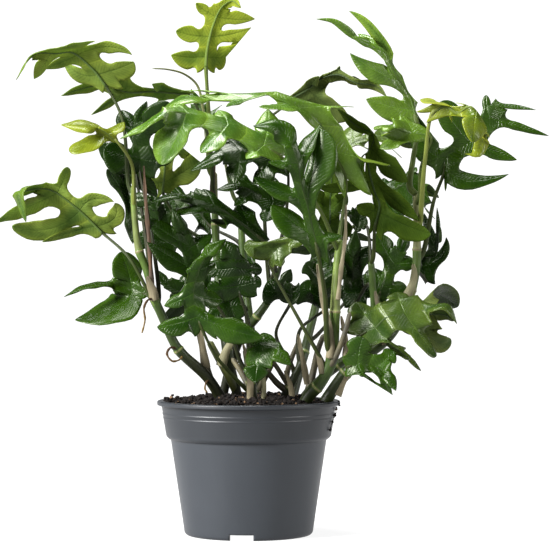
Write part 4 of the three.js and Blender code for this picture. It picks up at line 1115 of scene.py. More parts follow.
@dataclass(frozen=True)
class Compost:
    """The compost: a crumbly crown in the pot's mouth and loose crumbs on it, in millimetres."""

    edge: float = 119.6
    crown: float = 127.2
    mouth_radius: float = 77.6
    inside: tuple = ((77.4, 112), (74.0, 98), (69.0, 86), (56.4, 8.8), (0.01, 8.8))
    crumbs: int = 1500
    heaped: int = 150
    fallen: int = 15
    crumb_size: tuple = (0.7, 2.6)
    crumb_squash: tuple = (0.6, 1.25)
    crumb_bumps: tuple = (0.72, 1.18)
    crumb_lift: float = 0.35
    heap_turns: tuple = (165, 262)
    heap_ring: tuple = (68, 78.5)
    seed: int = 11

    def height(self, x: Array, y: Array) -> Array:
        """Gives the surface's height: a flat dome plus waves of many lengths and directions."""
        random = np.random.default_rng(self.seed)
        share = np.clip(np.hypot(x, y) / self.mouth_radius, 0, 1)
        z = self.edge + (self.crown - self.edge) * (1 - share ** 4)
        for _ in range(26):
            length = random.uniform(5, 26)
            turn, start = random.uniform(0, 2 * np.pi, 2)
            wave = 2 * np.pi * (x * np.cos(turn) + y * np.sin(turn)) / length + start
            z = z + 0.017 * length * np.cos(wave) * random.uniform(0.3, 1)
        return z

    def build(self, peat: bpy.types.Material) -> list[bpy.types.Object]:
        """Makes the body of compost and its loose crumbs."""
        turn = np.linspace(0, 2 * np.pi, 181)
        open_rings = self.mouth_radius * np.linspace(0.01, 1, 56)
        radius = np.concatenate([open_rings, [r for r, _ in self.inside]])[:, None]
        x, y = radius * np.cos(turn), radius * np.sin(turn)
        z = self.height(x, y)
        z[len(open_rings):] = np.array([z for _, z in self.inside])[:, None]
        skin = Skin()
        grid = np.stack([x, y, z], axis=-1)
        plain = np.zeros(grid.shape[:2] + (2,))
        skin.add_grid(grid, grid[..., :2], plain, 0)
        body = skin.build("compost_bed", [peat])
        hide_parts("compost")
        pieces = [body, self.scatter(peat)]
        for piece in pieces:
            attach(piece, "root")
        return pieces

    def scatter(self, peat: bpy.types.Material) -> bpy.types.Object:
        """Strews crumbs: bumpy balls of 32 faces, turned, squashed and sunk into the surface at random."""
        random = np.random.default_rng(self.seed + 1)
        ball, faces = crumb_ball()
        count = self.crumbs
        away = self.mouth_radius * 0.985 * np.sqrt(random.uniform(0, 1, count))
        turn = random.uniform(0, 2 * np.pi, count)
        x, y = away * np.cos(turn), away * np.sin(turn)
        small, large = self.crumb_size
        size = small + (large - small) * random.uniform(0, 1, count) ** 2.2
        centre = np.stack([x, y, self.height(x, y) + self.crumb_lift * size], axis=1)
        hung, hung_size = self.hanging(random)
        centre, size = np.concatenate([centre, hung]), np.concatenate([size, hung_size])
        count = len(size)
        squash = random.uniform(*self.crumb_squash, (count, 1, 3))
        bumps = random.uniform(*self.crumb_bumps, (count, len(ball), 1))
        turned = np.einsum("nij,nkj->nki", random_turns(random, count), ball[None] * bumps * squash)
        places = (centre[:, None] + size[:, None, None] * turned).reshape(-1, 3)
        triangles = (faces[None] + len(ball) * np.arange(count)[:, None, None]).reshape(-1, 3)
        tint = np.repeat(random.uniform(0, 1, (count, 2)), len(ball), axis=0)
        skin = Skin()
        skin.add(places, triangles, places[:, :2][triangles], tint[triangles], 0, smooth=False)
        return skin.build("compost_crumbs", [peat])

    def hanging(self, random: np.random.Generator) -> tuple[Array, Array]:
        """Places the crumbs heaped on the rim and the few caught by fine roots outside its right side."""
        count, fallen = self.heaped, self.fallen
        heap_turn = np.radians(random.uniform(*self.heap_turns, count))
        heap_away = random.uniform(*self.heap_ring, count)
        heap = np.stack([heap_away * np.cos(heap_turn), heap_away * np.sin(heap_turn),
                         121 + random.uniform(0, 1, count) ** 2 * 6.5], axis=1)
        fall = np.linspace(0, 1, fallen)
        side = np.radians(-14 + 4 * np.sin(fall * 5))
        drop_z = 124 - 26 * fall
        drop_away = np.where(drop_z > 119, 85.4, 77.2 + (drop_z - 91) * 0.162 + 0.7)
        drop = np.stack([drop_away * np.cos(side), drop_away * np.sin(side), drop_z], axis=1)
        sizes = np.concatenate([random.uniform(0.8, 2.4, count), random.uniform(0.8, 1.6, fallen)])
        return np.concatenate([heap, drop]), sizes


def crumb_ball() -> tuple[Array, Array]:
    """Gives a ball of 18 places and 32 faces: an octahedron with each face cut in four and pushed out."""
    corners = np.array([[1, 0, 0], [-1, 0, 0], [0, 1, 0], [0, -1, 0], [0, 0, 1], [0, 0, -1]], float)
    faces = np.array([[0, 2, 4], [2, 1, 4], [1, 3, 4], [3, 0, 4],
                      [2, 0, 5], [1, 2, 5], [3, 1, 5], [0, 3, 5]])
    a, b, c = (corners[faces[:, k]] for k in range(3))
    ab, bc, ca = unit(a + b), unit(b + c), unit(c + a)
    quads = np.stack([np.stack(t, 1) for t in ((a, ab, ca), (ab, b, bc), (ca, bc, c), (ab, bc, ca))], 1)
    places = quads.reshape(-1, 3)
    index, triangles = weld(places, np.arange(len(places)).reshape(-1, 3))
    return places[index], triangles


def random_turns(random: np.random.Generator, count: int) -> Array:
    """Gives rotations drawn evenly: each is the frame of two random directions made square."""
    first = unit(random.normal(size=(count, 3)))
    second = random.normal(size=(count, 3))
    second = unit(second - first * (first * second).sum(1, keepdims=True))
    return np.stack([first, second, np.cross(first, second)], axis=2)


# Tables, in pixels of the front view and a depth

# The marks along a stem: 0 near black, 0.3 green, 0.6 fresh green, 0.82 cream, 1 a pale scar. The lowest
# marks are partly the old stem's colour and partly painted shade, low down and on the stems inside the
# plant.
STEMS = (
    StemPlan("a", ((236, 428, -8), (223, 402, -12), (207, 377, -18), (178, 349, -26), (163, 318, -30),
        (154, 297, -32), (146, 268, -33), (139, 250, -34), (135, 220, -34), (133, 186, -34)), 5.6, 2.6,
        (0.37, 0.59, 0.76), ((0, 0.02), (0.3, 0.04), (0.37, 0.12), (0.4, 0.16), (0.55, 0.26), (0.58, 0.7),
        (0.6, 0.85), (0.61, 0.3), (0.74, 0.4), (0.765, 0.46), (0.77, 0.72), (0.9, 0.66), (1, 0.5))),
    StemPlan("b", ((244, 428, 10), (238, 398, 8), (230, 365, 10), (222, 320, 26), (217, 260, 40),
        (215, 215, 42), (214, 172, 42)), 5, 3, (0.3, 0.55, 0.8), ((0, 0.02), (0.3, 0.08), (0.6, 0.25),
        (0.85, 0.45), (0.9, 0.8), (1, 0.85))),
    StemPlan("c", ((254, 428, -20), (252, 398, -27), (250, 372, -32), (247, 350, -35)), 5, 4, (0.6,),
        ((0, 0.0), (0.6, 0.06), (1, 0.14))),
    StemPlan("d", ((220, 428, 40), (223, 398, 38), (229, 370, 34), (240, 340, 26), (256, 318, 14),
        (270, 297, 9), (277, 268, 6)), 4.6, 3.4, (0.4, 0.7), ((0, 0.0), (0.4, 0.04), (0.7, 0.12),
        (1, 0.3))),
    StemPlan("e", ((298, 428, -26), (307, 399, -33), (321, 382, -38), (331, 362, -40), (334, 340, -42),
        (335, 311, -42), (337, 268, -42), (340, 240, -42)), 6.2, 3.4, (0.24, 0.42, 0.64), ((0, 0.04),
        (0.24, 0.1), (0.27, 0.26), (0.41, 0.3), (0.43, 0.36), (0.63, 0.42), (0.65, 0.7), (1, 0.6))),
    StemPlan("f", ((290, 428, 4), (304, 398, 8), (327, 374, 10), (353, 353, 9), (371, 334, 6),
        (374, 312, 4), (373, 290, 2), (371, 262, 0)), 5, 3, (0.4, 0.66), ((0, 0.02), (0.4, 0.1),
        (0.66, 0.26), (1, 0.38))),
    StemPlan("g", ((312, 428, 0), (327, 399, -6), (346, 373, -11), (364, 357, -14), (384, 342, -13),
        (397, 325, -10), (411, 292, -6), (416, 268, -5), (417, 235, -5), (416, 192, -5)), 6.2, 3,
        (0.24, 0.64, 0.79), ((0, 0.04), (0.24, 0.1), (0.5, 0.2), (0.6, 0.26), (0.62, 0.8), (0.65, 0.8),
        (0.665, 0.36), (0.78, 0.42), (0.8, 0.86), (1, 0.82))),
    StemPlan("h", ((262, 428, 38), (258, 395, 50), (252, 340, 72), (246, 290, 90), (242, 240, 100),
        (240, 200, 104)), 5.2, 3, (0.35, 0.62), ((0, 0.02), (0.35, 0.1), (1, 0.4))),
    StemPlan("i", ((284, 428, 36), (293, 395, 50), (306, 345, 74), (318, 295, 92), (326, 245, 102),
        (330, 205, 106)), 5.2, 3, (0.35, 0.62), ((0, 0.02), (0.35, 0.1), (1, 0.4))),
    StemPlan("j", ((276, 428, -6), (284, 398, -10), (294, 378, -12), (302, 362, -10)), 4.6, 3.6, (0.6,),
        ((0, 0.0), (1, 0.1))),
)

ROOTS = (
    GrowthPlan("a", ((155, 299, -33), (148, 300, -40), (144, 308, -44), (145, 320, -46),
        (142, 333, -46))),
    GrowthPlan("a", ((176, 348, -28), (170, 348, -36), (167, 354, -39), (172, 361, -40), (179, 360, -36),
        (183, 355, -27))),
    GrowthPlan("a", ((210, 379, -19), (206, 383, -24), (205, 389, -26), (207, 392, -26))),
    GrowthPlan("d", ((236, 349, 24), (240, 356, 36), (236, 366, 42), (231, 370, 33))),
)

CUT_STALKS = (
    GrowthPlan("b", ((214, 188, 42), (208, 152, 53), (203, 108, 56), (197, 85, 54), (184, 74, 48),
        (168, 69.5, 40), (152, 68.4, 32)), 2.3, 0.6),
    GrowthPlan("a", ((216, 391, -14), (210, 376, -6), (203, 352, -4), (198, 331, -4)), 3, 2.2),
    GrowthPlan("j", ((287, 391, -11), (277, 383, -15), (266, 370, -20)), 3.4, 2.4),
    GrowthPlan("j", ((289, 387, -11), (283, 377, -17), (276, 366, -24), (268, 356, -28)), 2.4, 2),
    GrowthPlan("b", ((236, 391, 8), (226, 372, 1), (216, 354, -1), (209, 341, 2)), 4, 3.2),
    GrowthPlan("c", ((251, 391, -28), (242, 374, -22), (232, 358, -14)), 3, 2.2),
    GrowthPlan("h", ((258, 391, 51), (266, 376, 40), (275, 358, 34)), 3, 2.4),
    GrowthPlan("i", ((294, 392, 51), (287, 378, 42), (291, 360, 36), (299, 341, 34)), 3, 2.2),
    GrowthPlan("f", ((307, 395, 8), (313, 373, 20), (318, 350, 26), (324, 334, 28)), 3.8, 2.4),
    GrowthPlan("e", ((326, 373, -39), (337, 354, -47), (345, 332, -52), (350, 312, -52)), 3, 2),
)

# The places, widths and ends of most leaves were moved from what was first read: a search fitted
# the plant's outline in the front view, and another lessened the folds where a blade crosses itself.
LEAVES = (
    LeafPlan("a1", "a", 0.93, ((132, 165, -44),), (118, 142, -54), ((98, 128, -6), (61, 125, -16)),
        (-0.1, -0.55, 0.85), (((69, 151, -7, 1.55, 1),), ((124, 122, 17, 1.1, 0),)), web=0.12,
        places=(0, 0.4), end=1.79, tone=Tone.YOUNG),
    LeafPlan("a2", "a", 0.97, ((122, 118, -26),), (106, 86, -18), ((93, 69, -4), (72, 52, -10),
        (57, 53, -18), (34, 54, -22), (16, 80, -35)), (0.1, 0.9, 0.42), (((134, 62, -10, 1.28, 0.73),
        (132, 55, -10, 0.82, 0.24, 110, 42, -8), (95, 41, -29, 0.76, 0)),
        ((63, 61, 12, 1.04, 0, 81, 82, 6), (44, 69, 4, 0.86, 0), (34, 79, 0, 1.52, 0.15))), web=0.26,
        end=0.61, end_face=(-0.5, -0.1, 0.85), tone=Tone.OLIVE),
    LeafPlan("a3", "a", 0.55, ((150, 225, -14),), (140, 171, 2), ((140, 154, -2), (135, 133, -6),
        (147, 101, 0)), (0.35, -0.94, 0.31), (((176, 145, -6, 0.86, 0, 168, 167, -5),
        (169, 102, -12, 1.51, 0.84)), ((104, 148, -12, 2.43, 0.6), (122, 110, 22, 1.46, 0.4))), web=0.26,
        end=0.97, tone=Tone.DEEP),
    LeafPlan("a4", "a", 0.5, ((130, 259, -20),), (103, 233, -2), ((76, 207, -6), (49, 189, -11),
        (27, 190, -20), (19, 192, -28), (26, 222, -30)), (0.1, 1.04, 0.5),
        (((115, 203, -7, 1.2, 0.85, 123, 223, 3), (114, 202, -9, 0.93, 0.21, 89, 194, -8),
        (67, 167, -14, 0.59, 1)), ((42, 242, -6, 0.71, 0.32, 74, 232, 4),
        (12, 226, 5, 1.32, 0.83, 52, 243, 8), (-6, 223, -4, 1.2, 0.11, 34, 209, 0))), web=0.21,
        places=(0, 0.14, 0.33, 0.56), crowd=0.6, end=0.99, end_face=(-0.5, -0.3, 0.8), tone=Tone.OLIVE),
    LeafPlan("a5", "a", 0.42, (), (148, 295, -12), ((125, 287, 9), (106, 284, 0), (84, 287, -6),
        (64, 297, -14)), (0, -0.45, 0.9), (((120, 252, 2, 1.3, 0.82),),
        ((75, 320, -10, 2.13, 0.34, 135, 311, -6),)), web=0.18, places=(0, 0.42), end=0.54),
    LeafPlan("a6", "a", 0.62, ((140, 200, 8),), (132, 162, 18), ((122, 178, -4), (128, 201, -8),
        (133, 244, -10)), (-0.3, -0.95, 0), (((98, 143, -10, 1.23, 0.2), (107, 169, -20, 0.66, 0.33)),
        ((157, 196, 4, 1.04, 0.42), (153, 202, -11, 0.9, 0.37))), web=0.21, end=0.94, tone=Tone.DEEP),
    LeafPlan("b1", "b", 0.98, ((209, 120, 38),), (206, 67, 34), ((207, 52, 0), (213, 26, -2),
        (222, 7, -5), (232, 1, -8), (241, 8, -14)), (0.05, 0.97, 0.2), (((171, 55, -7, 1.66, 0.11),
        (176, 31, -5, 1.26, 0.5), (196, 3, -4, 0.71, 0.32)), ((226, 57, 9, 1.75, 0.59),
        (250, 29, 1, 1.08, 0.14), (255, 19, 3, 1.23, 0.09))), web=0.29, end=0.88, stout=1.3, holes=((),
        (1,)), tone=Tone.LIME),
    LeafPlan("b3", "b", 0.7, ((182, 225, 48),), (163, 192, 42), ((165, 167, -8), (163, 150, 2),
        (170, 131, 4)), (0.38, 0.97, 0.2), (((199, 161, 6, 1.6, 0.88), (182, 147, 2, 0.4, 0.2)),
        ((147, 184, 2, 1.17, 0.23), (146, 150, 2, 0.94, 0))), web=0.28, holes=((1,), ()),
        tone=Tone.OLIVE),
    LeafPlan("b4", "b", 0.9, ((209, 140, 24),), (188, 94, 22), ((153, 91, -4), (128, 92, -13),
        (104, 85, -7), (77, 90, -14), (61, 96, -20)), (-0.5, 0.84, 0.64), (((154, 110, 17, 0.41, 0.18),
        (91, 115, -1, 0.4, 0.04)), ((152, 84, -28, 0.6, 0), (109, 71, -20, 1.67, 0))), web=0.25, end=0.64,
        tone=Tone.OLIVE),
    LeafPlan("c1", "c", 0.44, ((216, 356, -64),), (201.5, 328, -76), ((194, 308, -2), (194, 285, -5),
        (202, 263, -8), (211, 250, -6), (226, 239, 2)), (-0.35, -0.9, 0.25), (((157, 327, -2, 1.5, 0.3),
        (164, 306, 0, 1), (186, 271, -2, 0.9)), ((263, 338, -4, 1.5, 0.2), (222, 300, 20, 1, 0.5),
        (215, 262, 14, 0.9))), web=0.33),
    LeafPlan("c2", "c", 0.8, (), (249, 347, -58), ((263, 345, -8), (278, 350, -16), (291, 365, -24)),
        (0.1, -0.65, 0.75), (((271, 335, 12, 1.5, 0.8),), ((255, 383, -10, 1.1),)), web=0.55),
    LeafPlan("c3", "c", 0.95, ((248, 320, -44),), (240, 295, -46), ((236, 277, -2), (234, 262, -6),
        (222, 240, -6)), (0, -0.97, 0.2), (((207, 288, -3, 1.7, 1), (209, 269, 8, 1.37, 0.81)),
        ((261, 279, -4, 1.02, 0.56), (262, 269, 11, 1.03, 0.72))), web=0.63, end=0.97, tone=Tone.DEEP),
    LeafPlan("c4", "c", 0.7, ((226, 320, -32),), (204, 286, -34), ((197, 264, 0), (189, 244, 0),
        (178, 222, -7), (172, 208, -6)), (-0.2, -0.85, 0.5), (((147, 242, -8, 1.4), (141, 216, -6, 1.14)),
        ((222, 264, 8, 1.01, 0.3), (212, 234, 8, 1.2))), tone=Tone.DEEP),
    LeafPlan("c5", "c", 0.6, (), (243, 304, -24), ((232, 306, 0), (221, 310, -2), (207, 320, -4)),
        (-0.1, -0.95, 0.3), (((236, 325, -1, 1.29, 0.75),), ((228, 289, 6, 1.3, 0.63),)), web=0.69,
        tone=Tone.DEEP),
    LeafPlan("d1", "d", 0.97, ((286, 215, -2),), (286, 164, -14), ((264, 154, -4), (248, 151, -8),
        (223, 154, -12), (210, 161, -16), (191, 171, -20)), (0, -0.35, 0.93), (((254, 141, 33, 1.12, 0),
        (216, 132, 24, 1.12, 0)), ((253, 185, -11, 1.46, 0.45), (234, 184, -9, 1.12, 0.38))), web=0.37,
        end=1.6, tone=Tone.DEEP),
    LeafPlan("d2", "d", 0.85, ((264, 200, 34), (267, 122, 56), (282, 108, 60)), (291, 98, 58),
        ((307, 89, -2), (323, 77, 1), (339, 74, -6), (355, 82, -14), (376, 86, -10), (387, 97, -14)),
        (0.01, 0.7, 0.91), (((350, 120, 10, 1.41, 0.37), (364, 85, 16, 0.55, 0.63)),
        ((319, 76, -15, 0.98, 0), (340, 66, -7, 0.56, 0))), web=0.28, end=0.71, tone=Tone.PALE),
    LeafPlan("d3", "d", 0.92, ((286, 232, 8),), (283, 208, 8), ((262, 196, 1), (240, 186, -8),
        (216, 190, -12)), (-0.16, -0.55, 0.83), (((264, 175, 10, 1.3, 0.5), (236, 173, 8, 0.86)),
        ((264, 222, -12, 1.2, 0.2), (234, 206, -10, 1))), web=0.45, end=1.26, tone=Tone.DEEP),
    LeafPlan("d4", "d", 0.8, ((276, 260, -6),), (264, 241, -10), ((246, 226, -4), (222, 209, -10),
        (196, 199, -14), (170, 196, -22), (149, 204, -28)), (-0.1, -0.44, 1.21), (((238, 203, 20, 1.2),
        (203, 189, 16, 1)), ((210, 220, 2, 1.19), (167, 214, -12, 1))), web=0.37, end=0.99,
        tone=Tone.DEEP),
    LeafPlan("e1", "e", 0.42, ((325, 296, -64),), (318, 254, -86), ((311, 224, -4), (306, 202, -7),
        (301, 184, -12), (294, 151, -18), (278, 128, -18), (253, 126, -22)), (-0.3, -0.86, 0.74),
        (((271, 205, -6, 1.3, 0.43), (254, 177, -3, 1.59, 0.29), (268, 162, -8, 0.75, 0)),
        ((343, 236, 6, 0.77, 0.07), (321, 129, 9, 1.68, 1), (321, 125, 21, 0.9, 0.15))), web=0.18,
        end=1.19, stout=1.3),
    LeafPlan("e2", "e", 0.98, (), (346, 178, -34), ((333, 149, -4), (319, 122, -8), (300, 108, -12),
        (269, 94, -16), (242, 100, -20), (208, 100, -20), (181, 100, -28), (146, 125, -30)),
        (0.25, -0.08, 0.96), (((315, 166, -12, 1.15, 0.68), (259, 107, -42, 0.9, 0.47),
        (226, 107, -28, 0.54, 0)), ((390, 165, -10, 1.31, 0.8), (354, 107, 8, 0.46, 0),
        (181, 91, 22, 0.45, 0))), web=0.31, end=1.6, tone=Tone.BRIGHT),
    LeafPlan("e3", "e", 0.94, ((321, 212, -60),), (281, 156, -80), ((263, 145, -4), (241, 131, -8),
        (213, 119, -12), (187, 113, -16), (167, 112, -25), (141, 128, -22), (120, 139, -26)),
        (0, -0.4, 0.92), (((246, 159, -18, 0.95, 0), (201, 153, -18, 1.56, 0.38),
        (162, 165, -12, 1.73, 0.55)), ((268, 109, 25, 0.96, 0), (218, 110, 22, 1.05, 0),
        (174, 104, 14, 1.25, 0.19))), web=0.32, end=0.85, tone=Tone.BRIGHT),
    LeafPlan("e4", "e", 0.33, ((302, 325, -46),), (269, 260, -40), ((275, 250, -2), (286, 243, -4),
        (309, 240, -6)), (0, -0.75, 0.65), (((244, 247, -7, 1.16, 0.39),), ((281, 267, -6, 1, 0),)),
        web=0.59, tone=Tone.PALE),
    LeafPlan("f1", "f", 0.99, (), (375, 228, -14), ((380, 204, -4), (375, 191, 0), (368, 156, -2),
        (374, 136, -4), (356, 125, -10), (337, 108, -16)), (0.68, 0.85, 0.35),
        (((431, 234, -24, 1.3, 0.5), (420, 221, -4, 0.96, 0.07), (408, 182, 0, 1.19, 0.13)),
        ((357, 205, -5, 1.15, 0.59), (320, 188, -1, 0.49, 1), (361, 158, -15, 0.54, 0.39))), web=0.16,
        end=0.72),
    LeafPlan("f2", "f", 0.72, (), (379, 297, 24), ((384, 282, 0), (392, 266, 0), (402, 248, -1),
        (407, 228, 9)), (0.29, -0.95, 0.25), (((374, 268, 21, 1.4, 0.5), (377, 232, 0, 1.3, 0.2)),
        ((408, 291, 0, 1.4, 0.7), (415, 262, 0, 1.2, 0.6))), web=0.31),
    LeafPlan("f3", "f", 0.6, (), (358, 336, -44), ((374, 328, -2), (388, 316, -15), (412, 313, -10),
        (422, 310, -10), (447, 307, -18), (457, 324, -17)), (0, -0.3, 1.02), (((356, 302, 20, 1.3, 0.48),
        (397, 292, 13, 1.3, 0.51)), ((389, 343, -15, 0.73, 0), (436, 357, -10, 0.8, 0.99))), web=0.52,
        end=0.61, tone=Tone.PALE),
    LeafPlan("f4", "f", 0.85, (), (355, 304, 26), ((353, 284, 10), (353, 260, 0), (356, 229, 0)),
        (0, -0.97, 0.63), (((335, 290, 0, 1.37, 0.6), (336, 250, -2, 1.19, 0.3)),
        ((370, 292, 2, 1.3, 0.6), (370, 246, 2, 1.1, 0.3))), web=0.5, tone=Tone.DEEP),
    LeafPlan("f5", "f", 0.95, (), (367, 226, 36), ((358, 220, 6), (349, 214, 4), (338, 212, 8)),
        (0.02, -0.66, 0.72), (((356, 232, 0, 1.2, 0.4),), ((360, 205, 8, 1.2, 0.3),)), web=0.5, end=0.97,
        tone=Tone.DEEP),
    LeafPlan("g1", "g", 0.99, ((413, 160, -5),), (417, 126, -6), ((407, 93, 8), (393, 72, -4),
        (382, 49, -7), (362, 42, -5), (344, 28, -13), (333, 21, -16), (316, 19, -20)),
        (-0.52, -0.8, 0.32), (((366, 99, -10, 1.35, 0), (350, 53, -10, 0.96, 0.04, 379, 78, -8),
        (352, 37, -11, 0.6, 0)), ((417, 126, 25, 0.91, 0.34, 418, 104, 8),
        (349, 11, 21, 0.48, 0.1, 387, 30, 14), (358, 34, 21, 0.46, 0.1))), web=0.14,
        places=(0, 0.2, 0.46, 0.68), end=0.35, stout=1.5, tone=Tone.BRIGHT),
    LeafPlan("g2", "g", 0.84, ((425, 160, -26),), (433, 112, -46), ((446, 105, -4), (458, 112, -14),
        (471, 106, -24), (487, 131, -20), (483, 139, -17), (476, 154, -20), (465, 154, -24)),
        (0.47, -0.36, 0.86), (((420, 100, 2, 1.05, 0.69), (456, 103, 14, 0.4)), ((452, 122, 0, 0.61, 0),
        (473, 143, -21, 1.38, 0.2))), web=0.31, end=0.82, stout=1.3, tone=Tone.YOUNG),
    LeafPlan("g3", "g", 0.75, ((434, 200, 4),), (444, 172, 8), ((448, 154, -2), (464, 146, -4),
        (479, 133, -6), (493, 112, -10), (497, 107, -14), (516, 107, -18), (536, 110, -24)),
        (-0.3, -0.85, 0.45), (((419, 118, -3, 1.44, 0.6, 425, 163, -2), (441, 101, -5, 1.38, 1),
        (486, 95, 3, 0.59, 0.63)), ((509, 174, -4, 1.1, 0.1, 447, 197, -6), (517, 160, -7, 0.68, 0.22),
        (549, 136, -4, 0.45, 0.13, 512, 127, 2))), web=0.22, end=0.34, stout=1.2),
    LeafPlan("g4", "g", 0.68, (), (426, 281, 18), ((421, 259, 7), (435, 255, 0), (438, 228, -9),
        (437, 207, 1)), (-0.3, -0.9, 0.31), (((446, 237, 6, 0.9, 0, 449, 257, 4),
        (440, 226, 13, 0.48, 0.23)), ((414, 258, -3, 1.12, 0), (424, 213, 10, 0.6, 0.14))), web=0.17,
        end=0.3, tone=Tone.DEEP),
    LeafPlan("g5", "g", 0.55, (), (396, 322, -26), ((411, 317, 3), (426, 314, -8), (446, 315, -12),
        (454, 321, -16)), (0.1, 0.47, 0.75), (((458, 307, 20, 2.07, 0.55, 428, 283, 17),),
        ((451, 339, 1, 1.21, 0.94, 439, 358, -6),)), web=0.24, places=(0, 0.62), end=1.78,
        tone=Tone.PALE),
    LeafPlan("g6", "g", 0.3, (), (347, 367, -56), ((360, 364, -4), (376, 366, -2), (388, 377, -18),
        (396, 391, -26)), (0.1, -0.9, 0.56), (((363, 337, -4, 1.6, 0.6), (395, 352, 0, 1.31, 0.5)),
        ((364, 377, -4, 0.7, 0.3), (391, 394, 3, 0.77))), web=0.45, holes=((), (1,))),
    LeafPlan("g7", "g", 0.44, (), (386, 341, -34), ((396, 348, -4), (408, 357, -8), (421, 371, -12)),
        (0.3, -0.4, 0.85), (((406, 348, 14, 0.78, 0.03),), ((391, 360, 1, 0.84, 0),)), web=0.32, end=1.1,
        tone=Tone.PALE),
    LeafPlan("g8", "g", 0.95, ((421, 168, -14),), (431, 136, -22), ((420, 133, -2), (409, 132, -4),
        (396, 128, -13), (380, 127, -11), (374, 130, -16)), (0, -0.35, 0.94),
        (((380, 149, -10, 1.29, 0),), ((400, 115, 10, 0.99, 0.06),)), web=0.54, tone=Tone.BRIGHT),
    LeafPlan("h1", "h", 0.98, (), (220, 140, 112), ((207, 120, 8), (198, 100, 16), (191, 89, 24)),
        (-0.2, 0.3, 0.93), (((176, 118, 10, 1.23, 0), (167, 107, 12, 0.94)), ((235, 120, 25, 1.41, 0),
        (222, 105, 24, 1.16, 0))), web=0.28, end=0.91),
    LeafPlan("h2", "h", 0.8, (), (210, 226, 118), ((193, 206, 6), (174, 199, 12), (148, 203, 18)),
        (-0.3, 0.3, 0.9), (((192, 237, -8, 0.94, 0), (166, 225, -2, 1.22, 0)), ((196, 188, 28, 1.43, 0),
        (164, 178, 24, 1.07, 0))), end=1.06, tone=Tone.DEEP),
    LeafPlan("h3", "h", 0.6, (), (246, 263, 134), ((238, 250, 16), (234, 245, 34), (228, 254, 56)),
        (0, 0.5, 0.87), (((201, 267, 12, 1.15), (201, 258, 20, 0.98, 0)), ((267, 256, 18, 1.08, 0),
        (267, 254, 24, 1, 0.03))), end=0.99),
    LeafPlan("h4", "h", 0.4, (), (214, 305, 110), ((198, 295, 10), (183, 294, 20), (171, 298, 32)),
        (-0.2, 0.5, 0.85), (((196, 315, -12, 1.1, 0.22), (162, 322, -1, 1.89, 0.88)),
        ((207, 283, 25, 1.15, 0), (190, 277, 32, 0.98, 0.06))), web=0.23, end=0.97, tone=Tone.DEEP),
    LeafPlan("h5", "h", 0.5, ((226, 296, 60),), (190, 302, 26), ((180, 291, 0), (167, 284, 0),
        (155, 269, 2)), (-0.2, -0.9, 0.4), (((170, 300, -4, 1.2, 0.29),), ((189, 273, 2, 1.2, 0.3),)),
        web=0.4, tone=Tone.DEEP),
    LeafPlan("h6", "h", 0.66, ((200, 262, 76),), (165, 252, 62), ((162, 228, 6), (157, 211, 0),
        (151, 188, 2)), (-0.2, -0.9, 0.35), (((138, 234, 0, 1.66, 0.26), (134, 208, 10, 1.05, 0.32)),
        ((184, 240, 5, 1.2, 0.35), (174, 200, 5, 1.07, 0.34))), web=0.45, end=1.15, tone=Tone.DEEP),
    LeafPlan("i1", "i", 0.98, (), (341, 151, 96), ((361, 139, 2), (387, 139, 6), (402, 142, 8),
        (425, 149, 12)), (0, 0.3, 0.95), (((377, 152, -21, 0.93, 0), (402, 158, -16, 0.58, 0.33)),
        ((355, 124, 22, 1.24, 0.27), (392, 124, 30, 0.98, 0.24))), web=0.2, end=1.22, tone=Tone.PALE),
    LeafPlan("i2", "i", 0.8, (), (379, 203, 100), ((387, 195, 2), (400, 186, 4), (416, 184, 8),
        (439, 198, 12)), (0, 0.2, 0.97), (((407, 235, -19, 1.36), (435, 219, -14, 0.96, 0.16)),
        ((384, 178, 23, 0.85), (416, 167, 23, 0.79))), web=0.58),
    LeafPlan("i3", "i", 0.6, (), (325, 255, 140), ((337, 234, 18), (338, 231, 38), (348, 240, 60)),
        (0.1, 0.5, 0.86), (((286, 252, 14, 1.09), (299, 239, 25, 1.02, 0)), ((367, 248, 20, 1.09, 0),
        (375, 241, 15, 1.01))), end=0.81, tone=Tone.DEEP),
    LeafPlan("i4", "i", 0.4, (), (346, 301, 110), ((358, 291, 10), (372, 289, 20), (388, 297, 32)),
        (0.2, 0.5, 0.85), (((359, 314, -10, 1.1), (385, 307, -7, 1, 0)), ((350, 278, 26, 1.12),
        (367, 273, 31, 0.99))), web=0.19, end=1.01, tone=Tone.DEEP),
    LeafPlan("i5", "i", 0.72, ((322, 262, 84),), (325, 241, 66), ((330, 220, -12), (330, 204, 0),
        (332, 172, 10)), (0.1, 0.95, 0.3), (((308, 226, 0, 1.3, 0.43), (309, 193, -7, 1.23, 0.79)),
        ((352, 226, 0, 1.29, 0.51), (347, 194, -11, 1.05, 0.09))), web=0.47, end=0.92),
    LeafPlan("j1", "j", 0.78, ((276, 334, -6),), (290, 303, -14), ((283, 286, -1), (284, 283, -2),
        (291, 269, -3)), (0.18, -0.95, 0.3), (((263, 290, -1, 1.86, 1),), ((300, 293, -13, 1.86, 0.58),)),
        web=0.45, tone=Tone.DEEP),
    LeafPlan("j2", "j", 0.95, ((300, 330, 4),), (326, 308, 14), ((321, 284, -13), (323, 265, 1),
        (327, 248, 4)), (0, -0.97, 0.25), (((300, 285, 1, 2.03, 1), (306, 262, -8, 1.32, 0.31)),
        ((342, 290, 3, 1.1, 0.9), (345, 266, -6, 1.29, 0.7))), web=0.58, end=0.99, tone=Tone.DEEP),
)

